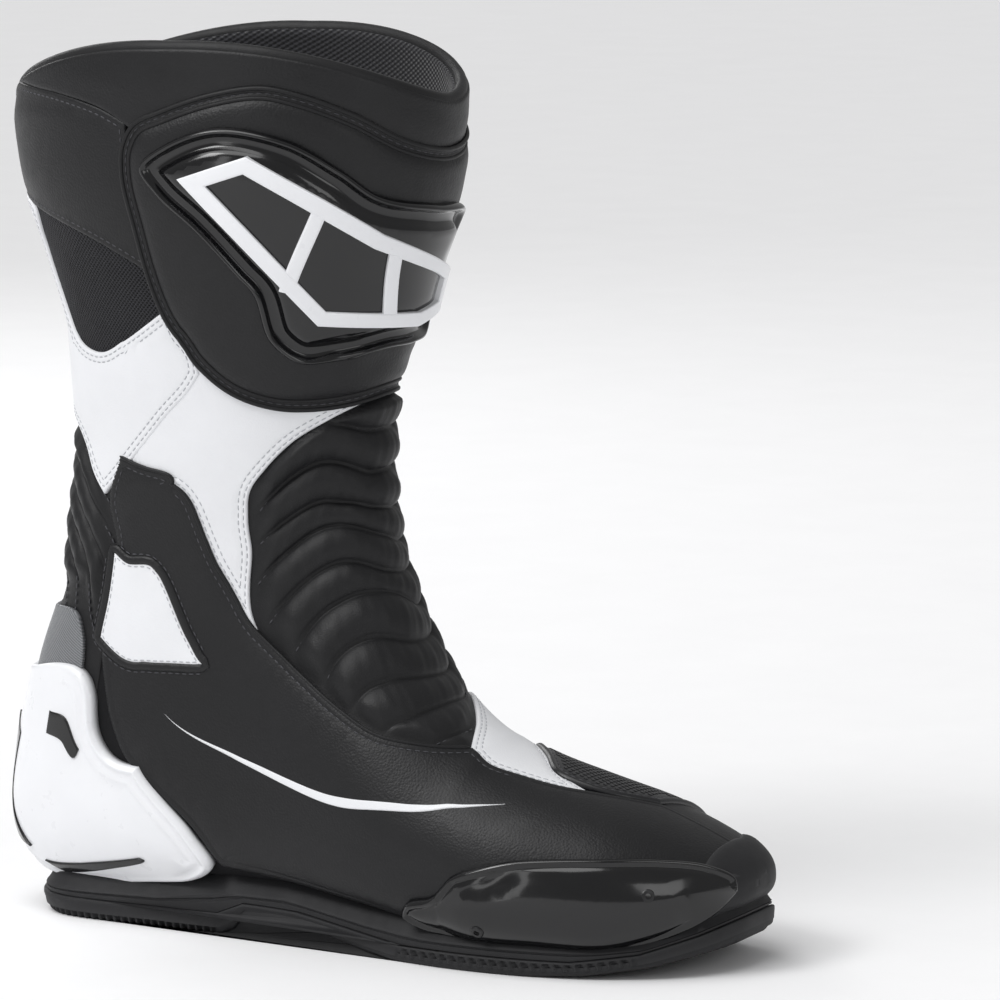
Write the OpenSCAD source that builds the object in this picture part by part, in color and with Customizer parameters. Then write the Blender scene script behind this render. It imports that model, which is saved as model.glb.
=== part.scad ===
// Right road-riding motorcycle boot, built as separate layers on one last shape.
// Frame: origin at the centre of the heel's ground face, +Z up, +Y to the toe, +X to the outer side.

/* [Upper] */
// Thickness of the structural shell
shell_t = 2.0; // [1.5:0.1:2.2]
// Thickness of the lining
lining_t = 1.4; // [1:0.1:1.8]
// Thickness of the outer leather panels
panel_t = 1.3; // [1:0.1:1.5]
// Clearance between neighbouring layers
gap = 0.3; // [0.25:0.01:0.35]
// Height of the collar's edge at the calf
collar_back_z = 313; // [305:1:318]
// Rise of the collar's edge from the calf to the outer side
collar_rise = 25; // [15:1:27]
// Proud height of the front and rear bellows
bellows_t = 3.8; // [3:0.1:4.2]

/* [Armour] */
// Proud height of the padded shin panel
shin_panel_t = 3.4; // [3:0.1:3.6]
// Thickness of the shin plate
shin_plate_t = 3.0; // [2:0.1:3.5]
// Thickness of the raised frame on the shin plate
emblem_t = 1.8; // [1:0.1:2.5]
// Thickness of the heel counter
counter_t = 3.2; // [2.5:0.1:3.5]
// Thickness of the toe slider
slider_t = 4.2; // [3:0.1:5]
// Radius of the toe slider's screw heads
screw_r = 2.6; // [2:0.1:3]

/* [Sole] */
// Thickness of the rubber outsole under the ball
outsole_t = 6.4; // [6:0.1:6.8]
// Depth of the tread grooves
groove_d = 2.4; // [1.5:0.1:3]
// Width of the tread grooves
groove_w = 3; // [2:0.1:4]
// Length of the steel shank
shank_l = 104; // [80:1:110]
// Width of the steel shank
shank_w = 14; // [10:1:18]

/* [Zip and closure] */
// Angle round the shaft at which the zip runs
zip_u = -118; // [-120:1:-116]
// Width of each zip tape
tape_w = 9; // [7:0.5:10]
// Pitch of the zip's teeth
tooth_pitch = 3; // [2.5:0.1:4]
// Thickness of the closure flap
flap_t = 2.0; // [1.5:0.1:2.5]

/* [Hidden] */

black = "#26262b";
white = "#e8eaee";
rubber = "#1c1c1c";
gloss = "#141416";

// ---- The last: closed sections along the boot ----
// A section is placed by s: the distance from the toe tip in the foot, the height in the shaft,
// and a fan of planes about the line (fan_y, fan_z) in between.
fan_y = 140;
fan_z = 225;
fan_s0 = 100;
fan_s1 = 225;
// The toe closes over its last tip_s millimetres, about the height fan_z - tip_r.
tip_s = 50;
tip_r = 193;
tip_power = 0.85;
// s, inner and outer distance from the fan line, centre x, half width, widest point, and the
// roundness (superellipse power) of the front and the back half.
STATIONS = [
    [  0, 178, 206, -11, 40, .60, 2.2, 3.2],
    [ 20, 174, 211,  -9, 44, .62, 2.2, 3.8],
    [ 41, 168, 214,  -5, 47, .62, 2.2, 4.2],
    [ 68, 160, 214,  -1, 49, .62, 2.2, 4.4],
    [ 88, 153, 214,   1, 49, .62, 2.1, 4.4],
    [102, 145, 212,   2, 47, .62, 2.0, 4.4],
    [116, 127, 212,   2, 44, .62, 2.0, 4.2],
    [130, 106, 221,   1, 40, .62, 2.0, 4.0],
    [143,  90, 243,   0, 37, .60, 2.0, 3.8],
    [157,  75, 276,   0, 35, .58, 2.0, 3.4],
    [163,  71, 277,   0, 34, .56, 2.0, 3.0],
    [170,  65, 256,   0, 34, .56, 2.0, 2.6],
    [177,  61, 233,   0, 34, .55, 2.0, 2.5],
    [185,  57, 207,   0, 35, .54, 2.0, 2.3],
    [195,  53, 191,   0, 37, .53, 2.0, 2.2],
    [205,  50, 180,   0, 39, .52, 2.0, 2.2],
    [225,  46, 177,   0, 44, .50, 2.0, 2.2],
    [255,  39, 186,   0, 50, .50, 2.1, 2.1],
    [285,  27, 197,   0, 55, .50, 2.1, 2.1],
    [315,  21, 199,   0, 57, .50, 2.1, 2.1],
    [345,  20, 197,   0, 57, .50, 2.1, 2.1]];

function seg(s, i = 0) = (i >= len(STATIONS) - 2 || s < STATIONS[i + 1][0]) ? i : seg(s, i + 1);
function slope(i, c) =
    let (a = max(i - 1, 0), b = min(i + 1, len(STATIONS) - 1))
    (STATIONS[b][c] - STATIONS[a][c]) / (STATIONS[b][0] - STATIONS[a][0]);
function blend_col(s, i, c) =
    let (h = STATIONS[i + 1][0] - STATIONS[i][0], t = (s - STATIONS[i][0]) / h, t2 = t * t, t3 = t2 * t)
    (2 * t3 - 3 * t2 + 1) * STATIONS[i][c] + (t3 - 2 * t2 + t) * h * slope(i, c)
    + (3 * t2 - 2 * t3) * STATIONS[i + 1][c] + (t3 - t2) * h * slope(i + 1, c);

// A point of the boot's surface: u is the angle round the section (0 front or top, 90 outer
// side, 180 back or sole, -90 inner side), s the section and o the offset outwards.
function skin(u, s, o) =
    let (i = seg(s), k = [for (c = [1:7]) blend_col(s, i, c)],
         q = s < tip_s ? pow(sqrt(1 - pow(1 - s / tip_s, 2)), tip_power) : 1,
         rf = s < tip_s ? tip_r - (tip_r - k[0] + o) * q : k[0] - o,
         rb = s < tip_s ? tip_r + (k[1] - tip_r + o) * q : k[1] + o,
         w = (k[3] + o) * q,
         front = cos(u) > 0,
         p = 2 / (front ? k[5] : k[6]),
         ac = pow(abs(cos(u)), p),
         t = front ? k[4] * (1 - ac) : k[4] + (1 - k[4]) * ac,
         r = rf + (rb - rf) * t,
         fan = 90 * min(max((s - fan_s0) / (fan_s1 - fan_s0), 0), 1),
         nose = s < tip_s ? o * (1 - s / tip_s) : 0)
    [k[2] + w * sign(sin(u)) * pow(abs(sin(u)), p),
     fan_y + max(fan_s0 - s, 0) + nose - r * sin(fan),
     fan_z + max(s - fan_s1, 0) - r * cos(fan)];

// Rows close up towards the rounded toe tip.
tip_start = 0.05;
function row_s(s) = s < tip_s ? max(tip_s * (1 - cos(90 * s / tip_s)), tip_start) : s;
function row_of(s) = s < tip_s ? tip_s * acos(1 - s / tip_s) / 90 : s;

function lerp(a, b, t) = a + (b - a) * t;
function smooth_step(t) = let (c = min(max(t, 0), 1)) c * c * (3 - 2 * c);

// ---- A curved sheet between two offsets of the last ----
// place(a, b) gives [u, s] for a and b from 0 to 1. lower and upper are offsets, as numbers or
// as functions of u and s. A ring joins up round the section, and a capped one closes at the toe.
module sheet(place, lower, upper, na, nb, ring = false, cap = false) {
    nc = ring ? na : na + 1;
    size = nc * (nb + 1);
    uv = [for (j = [0:nb]) for (i = [0:nc - 1]) place(i / na, j / nb)];
    inner = [for (m = uv) skin(m[0], m[1], is_num(lower) ? lower : lower(m[0], m[1]))];
    outer = [for (m = uv) skin(m[0], m[1], is_num(upper) ? upper : upper(m[0], m[1]))];
    function at(i, j) = j * nc + (ring ? i % na : i);
    function quad(a, b, c, d) = [[a, b, c], [a, c, d]];
    // The cells' diagonals mirror each other on the two sides of the boot.
    skins = [for (j = [0:nb - 1]) for (i = [0:na - 1])
        let (a = at(i, j), b = at(i + 1, j), c = at(i + 1, j + 1), d = at(i, j + 1))
        each sin(place((i + 0.5) / na, (j + 0.5) / nb)[0]) > 0
            ? concat(quad(size + a, size + b, size + c, size + d), quad(a, d, c, b))
            : concat(quad(size + b, size + c, size + d, size + a), quad(b, a, d, c))];
    ends = [for (i = [0:na - 1])
        let (a = at(i, 0), b = at(i + 1, 0), c = at(i + 1, nb), d = at(i, nb))
        each concat(cap ? [] : quad(size + b, size + a, a, b), quad(size + d, size + c, c, d))];
    sides = ring ? [] : [for (j = [0:nb - 1])
        let (a = at(0, j), b = at(na, j), c = at(na, j + 1), d = at(0, j + 1))
        each concat(quad(size + a, size + d, d, a), quad(size + c, size + b, b, c))];
    caps = cap ? [[for (i = [na - 1:-1:0]) size + i], [for (i = [0:na - 1]) i]] : [];
    polyhedron(concat(inner, outer), concat(skins, ends, sides, caps));
}

// A panel whose edges are given along s: from[s, u] to to[s, u] tables, over s0 to s1.
module panel_by_s(s0, s1, from, to, lower, upper, na, nb)
    sheet(function(a, b) let (r = row_s(lerp(row_of(s0), row_of(s1), b))) [lerp(lookup(r, from), lookup(r, to), a), r],
          lower, upper, na, nb);

// A panel whose edges are given along u: bottom[u, s] to top[u, s] tables, over u0 to u1.
module panel_by_u(u0, u1, bottom, top, lower, upper, na, nb)
    sheet(function(a, b) let (u = lerp(u0, u1, a)) [u, lerp(lookup(u, bottom), lookup(u, top), b)],
          lower, upper, na, nb);

// ---- Layers, as offsets of the last ----
core_in = -shell_t - gap - 1.0;        // inner stiffeners and foams lie from here to core_out
core_out = -shell_t - gap;
lining_out = core_in - gap;
lining_in = lining_out - lining_t;
skin_in = gap + 0.1;                    // outer panels lie from here to skin_out
skin_out = skin_in + panel_t;
over_in = skin_out + gap;               // trims on top of a panel start here
panel_gap_u = 0.6;                      // angle left between neighbouring panels

// ---- Where the leg part and the foot part meet, open at the front and back for the ankle ----
function foot_edge(u) = 163 - 35 * max(cos(u), 0) + 9 * max(-cos(u), 0);
function shaft_edge(u) = 167 + 18 * max(cos(u), 0) + 33 * max(-cos(u), 0);
gusset_gap = 1.1;

// ---- The collar's top edge, dipping at the shin and at the calf ----
function collar_edge(u) = collar_back_z + collar_rise * pow(abs(sin(u)), 1.6)
    + (cos(u) > 0 ? 5 * cos(u) : 0);

// The shaft is open along the zip: it runs from zip_open_u0 round the front to zip_open_u1.
zip_slot_u = 4;
shaft_u0 = zip_u + zip_slot_u;
shaft_u1 = 360 + zip_u - zip_slot_u;
zip_margin_u = 15;                      // outer panels stop this far from the zip
panel_u0 = zip_u + zip_margin_u;
panel_u1 = 360 + zip_u - zip_margin_u;

// ---- Foot: inner layers, all cut from one grid so that they nest ----
foot_na = 32;
foot_nb = 25;
// Rows stand closer together round the heel and over the instep.
foot_rows = [[0, 0], [0.4, 0.56], [0.64, 0.81], [1, 1]];
foot_place = function(a, b) let (u = 360 * a - 180) [u, row_s(lookup(b, foot_rows) * foot_edge(u))];
shaft_na = 36;
shaft_nb = 10;
shaft_place = function(a, b) let (u = lerp(shaft_u0, shaft_u1, a))
    [u, lerp(shaft_edge(u), collar_edge(u), pow(b, 1.4))];
// The cells of a grid from column i0 to i1 and from row j0 to j1.
module cells(place, na, nb, i0, i1, j0, j1, lower, upper)
    sheet(function(a, b) place(lerp(i0, i1, a) / na, lerp(j0, j1, b) / nb), lower, upper, i1 - i0, j1 - j0);

module foot_shell() color(black) sheet(foot_place, -shell_t, 0, foot_na, foot_nb, ring = true, cap = true);
module foot_lining() color("#3a3a40")
    sheet(foot_place, lining_in, lining_out, foot_na / 2, foot_nb, ring = true, cap = true);
module toe_puff() color("#8a7a5c") cells(foot_place, foot_na, foot_nb, 5, 27, 1, 5,
                                              core_in + 0.1, core_out - 0.1);
module heel_stiffener() color("#8a7a5c")
    cells(function(a, b) foot_place(a < 0.5 ? a + 0.5 : a - 0.5, b), foot_na, foot_nb, 10, 22, 19, 25,
          core_in + 0.1, core_out - 0.1);
module footbed() color("#55555c")
    cells(function(a, b) foot_place(a < 0.5 ? a + 0.5 : a - 0.5, b), foot_na / 2, foot_nb, 7, 9, 5, 20,
          lining_in - gap - 2.6, lining_in - gap);

// ---- Shaft: inner layers ----
module shaft_shell() color(black) sheet(shaft_place, -shell_t, 0, shaft_na, shaft_nb);
module shaft_lining() color("#3a3a40") sheet(shaft_place, lining_in, lining_out, shaft_na, shaft_nb);
module shin_foam() color("#d8c98a") cells(shaft_place, shaft_na, shaft_nb, 7, 20, 2, 7, core_in, core_out);
module collar_foam() color("#d8c98a") cells(shaft_place, shaft_na, shaft_nb, 2, 34, 9, 10, core_in, core_out);
module ankle_guards() color("#55555c")
    for (i = [2, 20]) cells(shaft_place, shaft_na, shaft_nb, i, i + 4, 0, 2, core_in + 0.2, core_out - 0.2);

// ---- The gusset that closes the ankle between foot and shaft ----
module ankle_gusset() color(black)
    sheet(function(a, b) let (u = 360 * a - 180)
              [u, lerp(foot_edge(u) + gusset_gap, shaft_edge(u) - gusset_gap, b)],
          -shell_t, 0, foot_na, 7, ring = true);

// ---- Outer panels of the foot ----
sole_u = 136;                           // outer panels end here, over the sole's edge
quarter_front = [[0, -3], [38, -3], [50, 7], [64, 15], [69, 17], [83, 21], [94, 25], [100, 24], [108, 38],
                 [117, 53], [127, 60], [153, 63], [162, 65], [171, 70], [182, 80], [191, 90], [197, 101], [200, 108]];
quarter_back = [[0, sole_u], [134, sole_u], [143, 109], [155, 95], [165, 96], [174, 103], [186, 111],
                [196, 118], [200, 112]];
module lateral_quarter() color(black)
    panel_by_s(0, 200, quarter_front, quarter_back, skin_in + 0.4, skin_out + 0.1, 15, 24);
module toe_cap() color(black)
    panel_by_s(0, 37, [[0, -sole_u], [37, -sole_u]], [[0, -3.6], [37, -3.6]], skin_in, skin_out, 12, 7);
shift_pad_edge = [[38, -4], [50, 5.5], [62, 8], [74, 5.6], [85, -9.6], [92, -25], [98, -46], [102, -70]];
module shift_pad() color(rubber)
    panel_by_s(38, 102, [[38, -sole_u], [102, -sole_u]], shift_pad_edge, skin_in + 1.15, skin_out + 1.3, 14, 11);
module vamp_saddle() color(white)
    panel_by_u(-sole_u, 23, [[-sole_u, 104], [-71, 103.5], [-46, 99.5], [-25, 93.5], [-9, 86.5], [6, 75.5], [12, 68],
                             [16, 72], [20, 84], [23, 95]],
               [[-sole_u, 124], [-85, 123.5], [-68, 121], [-48, 117], [-27, 112], [-2, 105], [23, 99]],
               skin_in, skin_out, 14, 4);
module medial_quarter() color(black)
    panel_by_s(125, 228, [[125, -sole_u], [136, -sole_u], [143, -110], [155, -96], [175, -panel_u0 - 206],
                          [228, panel_u0]],
               [[125, -88], [132, -72], [150, -59], [180, -54], [205, -56], [220, -62], [228, -72]],
               skin_in + 0.1, skin_out + 0.1, 8, 16);
module medial_strip() color(black)
    panel_by_s(125, 197, [[124, -80], [132, -71], [150, -58], [180, -53], [197, -54.5]],
               [[124, -60], [150, -47], [197, -44]], skin_in, skin_out, 3, 10);
module side_stripe() color(white)
    panel_by_s(80, 155, [[80, 43.5], [109, 69], [123, 83.5], [140, 86.5], [156, 87.2]],
               [[80, 44.5], [109, 73], [123, 88], [140, 90.5], [156, 88]], over_in, over_in + 0.5, 2, 12);
module ankle_inset() color(white)
    panel_by_s(158, 184, [[158, 75], [162, 77], [173, 85], [184, 100]],
               [[158, 78], [162, 83], [174, 103], [184, 108]], over_in + 0.2, over_in + 0.8, 4, 6);

// ---- Heel ----
counter_low = [[95, 154], [100, 149], [110, 143], [130, 139], [145, 141], [152, 148], [160, 155], [170, 159.5],
               [180, 161], [190, 159.5], [200, 155], [208, 148], [215, 141], [230, 139], [250, 143], [260, 149], [265, 154]];
counter_high = [[95, 156], [100, 162], [103, 167], [110, 171], [124, 174], [180, 177], [236, 174], [250, 171],
                [257, 167], [260, 162], [265, 156]];
module heel_counter() color(white)
    panel_by_u(95, 265, counter_low, counter_high, skin_out + gap, skin_out + gap + counter_t, 30, 8);
heel_skin = skin_out + gap + counter_t + gap + 0.3;
module heel_inlay() color(gloss)
    panel_by_u(166, 194, [[166, 165], [180, 163], [194, 165]], [[166, 168], [180, 171], [194, 168]],
               heel_skin, heel_skin + 0.8, 4, 3);
module heel_vents() color(gloss)
    for (mirrored = [0, 1])
        sheet(function(a, b) let (u = lerp(107, 121, a)) [mirrored ? 360 - u : u,
                  lerp(lookup(u, [[107, 163.2], [121, 167.5]]), lookup(u, [[107, 163.8], [114, 167.4], [121, 168.3]]), mirrored ? 1 - b : b)],
              heel_skin, heel_skin + 0.6, 4, 2);
module heel_reflector() color("#8c8f92")
    panel_by_u(112, 248, [[112, 172.6], [124, 175.2], [180, 178.2], [236, 175.2], [248, 172.6]],
               [[112, 174], [126, 179.5], [180, 182], [234, 179.5], [248, 174]], skin_in, skin_out + 0.6, 16, 2);

// ---- Toe armour ----
slider_in = skin_out + gap + 0.2;
slider_from = [[4, 70], [12, 50], [25, 55], [42, 64], [69, 78], [88, 91], [98, 108], [103, 122]];
slider_to = [[4, 92], [14, 110], [25, 121], [46, 131], [88, 135], [98, 134], [103, 130]];
slider_crown = function(u, s) slider_in + slider_t
    * min(1, 0.45 + 0.12 * min(s - 4, 103 - s, 0.5 * abs(u - lookup(s, slider_from)), 0.5 * abs(lookup(s, slider_to) - u)));
module toe_slider() color(gloss)
    sheet(function(a, b) let (s = lerp(4, 103, b)) [lerp(lookup(s, slider_from), lookup(s, slider_to), a), s],
          slider_in, slider_crown, 10, 16);
module slider_screws() color("#77797c")
    for (s = [26, 82]) {
        u = lerp(lookup(s, slider_from), lookup(s, slider_to), 0.5);
        on_skin(u, s, slider_in + slider_t + gap) cylinder(h = 1.2, r = screw_r, $fn = 32);
    }
module toe_bumper() color(rubber)
    sheet(function(a, b) let (u = 360 * a - 180)
              [u, row_s(b * lookup(u, [[-180, 20], [-110, 26], [-70, 22], [-45, 17], [-17, 12], [27, 12], [60, 12], [90, 11], [180, 20]]))],
          skin_out + gap + 0.2, skin_out + gap + 1.8, 24, 4, ring = true, cap = true);

// ---- Bellows ----
bellows_in = 2 * gap + 0.1;
module front_bellows() color(black)
    panel_by_u(-42, 57.5, [[-42, 120], [-27, 114], [-2, 107], [20, 103.5], [38, 111], [51, 120], [57.5, 130]],
               [[-42, 196], [0, 192], [20, 192], [39, 188.5], [50, 185], [57.5, 180]],
               bellows_in, bellows_in + bellows_t, 12, 13);
module rear_bellows() color(black)
    panel_by_u(106, panel_u1, [[106, 175], [124, 180.5], [180, 183.5], [236, 180.5], [panel_u1, 180]],
               [[106, 178], [118, 190], [124, 195], [150, 201], [180, 204], [210, 201], [panel_u1, 198]],
               bellows_in, bellows_in + bellows_t - 1, 14, 5);

// ---- Outer panels of the shaft ----
shin_low = [[-55, 202], [-50, 199], [-16, 198], [0, 195.5], [25, 196.5], [51, 201.5], [69, 209.5], [80, 217.5],
            [87, 225], [93, 237], [97, 254], [100, 286]];
shin_high = [[-55, 302], [-50, 305], [-16, 303], [4, 300], [23, 304], [42, 314.5], [57, 321], [67, 323], [79, 320],
             [91, 313.5], [97, 308], [100, 298]];
module shin_panel() color(black)
    panel_by_u(-55, 100, shin_low, shin_high, skin_in, skin_in + shin_panel_t, 22, 7);
plate_low = [[-24, 244], [-16, 231], [0, 228], [15, 227], [48, 222.5], [59, 231], [64, 246], [69, 255], [81, 272], [92, 287]];
plate_high = [[-24, 262], [-16, 276], [0, 280], [31, 285], [44, 294], [59, 304], [76, 308], [88, 302], [92, 295]];
plate_in = skin_in + shin_panel_t + gap;
module shin_plate() color(gloss)
    panel_by_u(-24, 92, plate_low, plate_high, plate_in, plate_in + shin_plate_t, 22, 6);
// The raised frame: a long slanted hexagon with a hexagon opening.
emblem_u = [-12, 82];
emblem_low = [[-12, 247], [4, 238], [44, 240], [82, 291]];
emblem_high = [[-12, 249], [26, 272], [66, 299], [82, 293]];
emblem_bar = 0.2;
module shin_emblem() color(white)
    difference() {
        panel_by_u(emblem_u[0], emblem_u[1], emblem_low, emblem_high,
                   plate_in + shin_plate_t + gap + 0.2, plate_in + shin_plate_t + gap + 0.2 + emblem_t, 16, 2);
        sheet(function(a, b) let (u = lerp(8, 66, a), low = lookup(u, emblem_low), high = lookup(u, emblem_high))
                  [u, lerp(lerp(low, high, emblem_bar + 0.06), lerp(low, high, 1 - emblem_bar - 0.06), b)],
              plate_in + shin_plate_t - 3, plate_in + shin_plate_t + emblem_t + 4, 10, 2);
    }
module collar() color(black)
    sheet(function(a, b) let (u = lerp(-55, 99, a)) [u, lerp(lookup(u, shin_high) + 2, collar_edge(u) - 1, b)],
          skin_in, skin_in + 2, 22, 2);
module calf_panel() color(black)
    sheet(function(a, b) let (u = lerp(100 + panel_gap_u, flap_u0 + 359, a))
              [u, lerp(lookup(u, [[100, 256], [117, 266], [147, 275], [panel_u1, 275]]), collar_edge(u) - 1, b)],
          skin_in, skin_out, 18, 5);
rear_low = [[95, 215], [100, 207], [111, 200.5], [118, 197], [124, 197.5], [144, 205], [160, 208], [200, 208], [panel_u1, 202]];
rear_high = [[95, 246], [97, 253], [117, 265], [147, 274], [panel_u1, 274]];
module rear_panel() color(white)
    panel_by_u(101, panel_u1, rear_low, rear_high, skin_in + 0.1, skin_out + 0.1, 18, 6);
module mesh_panel() color("#1a1a1e")
    panel_by_u(103, 149, [[103, 227], [109, 224], [121, 220], [133, 221], [140, 224], [149, 262]],
               [[103, 256], [117, 264], [147, 272], [149, 270]], over_in, over_in + 0.5, 10, 5);
module side_wedge() color(white)
    panel_by_s(156, 216, [[156, 62.5], [167, 60], [176, 62.5], [182, 63.8], [185, 60.5], [191, 41], [194.6, 26], [202, 55], [209, 69], [216, 79]],
               [[156, 63], [162, 64.2], [171, 69.4], [182, 79.4], [191, 89.4], [197, 99], [201, 100], [209, 95], [216, 84]],
               skin_in + 0.3, skin_out + 0.3, 8, 14);
module medial_panel() color(black)
    panel_by_u(panel_u0, -56, [[panel_u0, 229.5], [-72, 229.5], [-62, 223], [-56, 208]],
               [[panel_u0, 298], [-70, 299], [-56, 301]], skin_in, skin_out, 8, 9);

// ---- Straight parts laid on the last ----
function unit(v) = v / norm(v);
// A frame whose z points out of the surface at (u, s) and whose y runs towards higher s.
module on_skin(u, s, o) {
    at = skin(u, s, o);
    along = unit(skin(u, s + 1, o) - skin(u, s - 1, o));
    across = skin(u + 1, s, o) - skin(u - 1, s, o);
    out = unit(cross(along, across));
    side = cross(along, out);
    multmatrix([[side[0], along[0], out[0], at[0]], [side[1], along[1], out[1], at[1]],
                [side[2], along[2], out[2], at[2]], [0, 0, 0, 1]])
        children();
}

// ---- Zip: straight, from just over the ankle to the collar ----
zip_s0 = 200;
zip_s1 = 293;
zip_lift = 1.2;                         // height of the zip's base line over the last at its ends
zip_foot = skin(zip_u, zip_s0, zip_lift);
zip_head = skin(zip_u, zip_s1, zip_lift);
zip_l = norm(zip_head - zip_foot);
zip_y = unit(zip_head - zip_foot);
zip_mid_s = (zip_s0 + zip_s1) / 2;
zip_x = unit(cross(zip_y, cross(skin(zip_u - 2, zip_mid_s, 0) - skin(zip_u + 2, zip_mid_s, 0), zip_y)));
zip_z = cross(zip_x, zip_y);
tape_t = 0.9;
tooth_h = 2.4;
tooth_w = 5;
slot_half = 2.8;                        // half of the gap between the tapes
module on_zip(y, z = 0)
    multmatrix([[zip_x[0], zip_y[0], zip_z[0], zip_foot[0]], [zip_x[1], zip_y[1], zip_z[1], zip_foot[1]],
                [zip_x[2], zip_y[2], zip_z[2], zip_foot[2]], [0, 0, 0, 1]])
        translate([0, y, z]) children();
module zip_tape(side)
    on_zip(0) translate([side > 0 ? slot_half : -slot_half - tape_w, 0, 0]) cube([tape_w, zip_l, tape_t]);
module zip_tape_front() color("#202024") zip_tape(1);
module zip_tape_rear() color("#202024") zip_tape(-1);
stop_l = 5;
module zip_teeth() color("#3c3c40")
    for (y = [stop_l + 1:tooth_pitch:zip_l - stop_l - 1 - tooth_pitch / 2])
        on_zip(y, -0.4) translate([-tooth_w / 2, 0, 0]) cube([tooth_w, tooth_pitch * 0.55, tooth_h]);
module zip_stops() color("#77797c")
    for (y = [0, zip_l - stop_l]) on_zip(y, -0.4) translate([-tooth_w / 2, 0, 0]) cube([tooth_w, stop_l, tooth_h]);
// The gusset behind the opening follows the shaft's grid on both sides of it.
gusset_u = [[0, shaft_u0 - 8 - 10], [0.2, shaft_u0 - 8], [0.4, shaft_u0 - 5.33], [0.6, shaft_u0 - 2.67],
            [0.8, shaft_u0], [1, shaft_u0 + 10]];
module zip_gusset() color("#202024")
    sheet(function(a, b) let (u = lookup(a, gusset_u))
              [u, lerp(shaft_edge(u), collar_edge(u), pow(lerp(0.1, 0.9, b), 1.4))],
          lining_in - gap - 1.4, lining_in - gap - 0.2, 5, 8);
// The slider bridges the teeth, with a lug for the pull's pin on top.
slider_l = 13;
slider_w = 11;
slider_h = 1.3;
slider_y = zip_l - stop_l - slider_l - 2;
slider_z = tooth_h - 0.4 + 0.3;
pin_r = 0.8;
pin_y = slider_l - 3.5;
pin_z = slider_h + 1.5;
lug_w = 1.4;
module zip_slider() color("#8a8c8f")
    on_zip(slider_y, slider_z) {
        translate([-slider_w / 2, 0, 0]) cube([slider_w, slider_l, slider_h]);
        for (side = [-1, 1])
            translate([side * 3.2 - lug_w / 2, pin_y - 1.6, slider_h - 0.1])
                difference() {
                    cube([lug_w, 3.2, 3.2]);
                    translate([-1, 1.6, pin_z - slider_h + 0.1]) rotate([0, 90, 0]) cylinder(h = lug_w + 2, r = pin_r + 0.05, $fn = 32);
                }
    }
// The pull hangs from its pin, and lies along the zip.
pull_l = 24;
pull_w = 7;
pull_t = 1.2;
module zip_pull() color("#8a8c8f")
    on_zip(slider_y, slider_z) {
        translate([-4.2, pin_y, pin_z]) rotate([0, 90, 0]) cylinder(h = 8.4, r = pin_r, $fn = 32);
        difference() {
            translate([-2, pin_y - 8, pin_z - pull_t / 2]) cube([4, 8, pull_t]);
            translate([-1, pin_y - 6, pin_z - pull_t]) cube([2, 4, 2 * pull_t]);
        }
        translate([-pull_w / 2, pin_y - pull_l, pin_z - pull_t / 2]) cube([pull_w, pull_l - 7.5, pull_t]);
    }

// ---- Hook-and-loop tab across the collar, over the zip's opening ----
flap_u0 = -139;
flap_u1 = -61;
flap_lift = 2.4;
function flap_low(u) = lookup(u, [[flap_u0, 300], [-70, 301], [flap_u1, 306]]);
function flap_high(u) = min(collar_edge(u) - 5, lookup(u, [[-80, 330], [flap_u1, 314]]));
module closure_flap() color(black)
    sheet(function(a, b) let (u = lerp(flap_u0, flap_u1, a)) [u, lerp(flap_low(u), flap_high(u), b)],
          flap_lift, flap_lift + flap_t, 14, 3);
module tab_patch(lower, upper)
    sheet(function(a, b) let (u = lerp(-94, -68, a)) [u, lerp(flap_low(u) + 3, flap_high(u) - 3, b)],
          lower, upper, 5, 2);
module hook_patch() color("#101012") tab_patch(flap_lift - gap - 0.7, flap_lift - gap);
module loop_patch() color("#101012") tab_patch(gap, gap + 0.7);

// ---- Sole ----
// Half outlines of the ground plan, outer side then inner side, from the heel's back to the toe.
PLAN_OUT = [[0, -57], [17, -53], [29, -43], [34, -26], [35, 0], [35, 34], [37, 64], [43, 98], [49, 128], [51, 152],
            [49, 178], [42, 203], [28, 226], [8, 240]];
PLAN_IN = [[-12, 242.5], [-30, 240], [-43, 228], [-50, 205], [-51, 176], [-47, 148], [-38, 114], [-31, 84], [-29, 58],
           [-31, 32], [-34, 0], [-33, -26], [-28, -43], [-17, -53]];
PLAN = concat(PLAN_OUT, PLAN_IN);
function plan_point(i, t) =
    let (n = len(PLAN), p = [for (k = [-1:2]) PLAN[(i + k + n) % n]])
    0.5 * (2 * p[1] + t * (p[2] - p[0]) + t * t * (2 * p[0] - 5 * p[1] + 4 * p[2] - p[3])
           + t * t * t * (3 * p[1] - p[0] - 3 * p[2] + p[3]));
module plan(inset)
    offset(delta = -inset) polygon([for (i = [0:len(PLAN) - 1]) for (t = [0:0.34:0.7]) plan_point(i, t)]);

// Heights along the sole: the ground side, the outsole's top, and the midsole's top under the shell.
GROUND = [[-58, 5], [-53, 1.5], [-47, 0], [38, 0], [44, 3], [49, 9.5], [70, 8.5], [104, 1.6], [116, 0], [172, 0],
          [196, 1.4], [218, 4.6], [236, 9.6], [244, 13]];
SOLE_TOP = [[-58, 8], [36, 8], [48, 13], [72, 12.6], [104, 8.4], [120, outsole_t], [190, outsole_t], [214, 9.6],
            [232, 15.6], [244, 21]];
MID_TOP = [[-58, 10.4], [10, 12.2], [40, 16.4], [66, 17], [104, 12.2], [130, 10.4], [200, 10.4], [216, 12],
           [232, 17.6], [244, 23]];
function heights(table, shift) = [for (p = table) [p[0], p[1] + shift]];
function reversed(list) = [for (i = [len(list) - 1:-1:0]) list[i]];
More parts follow.
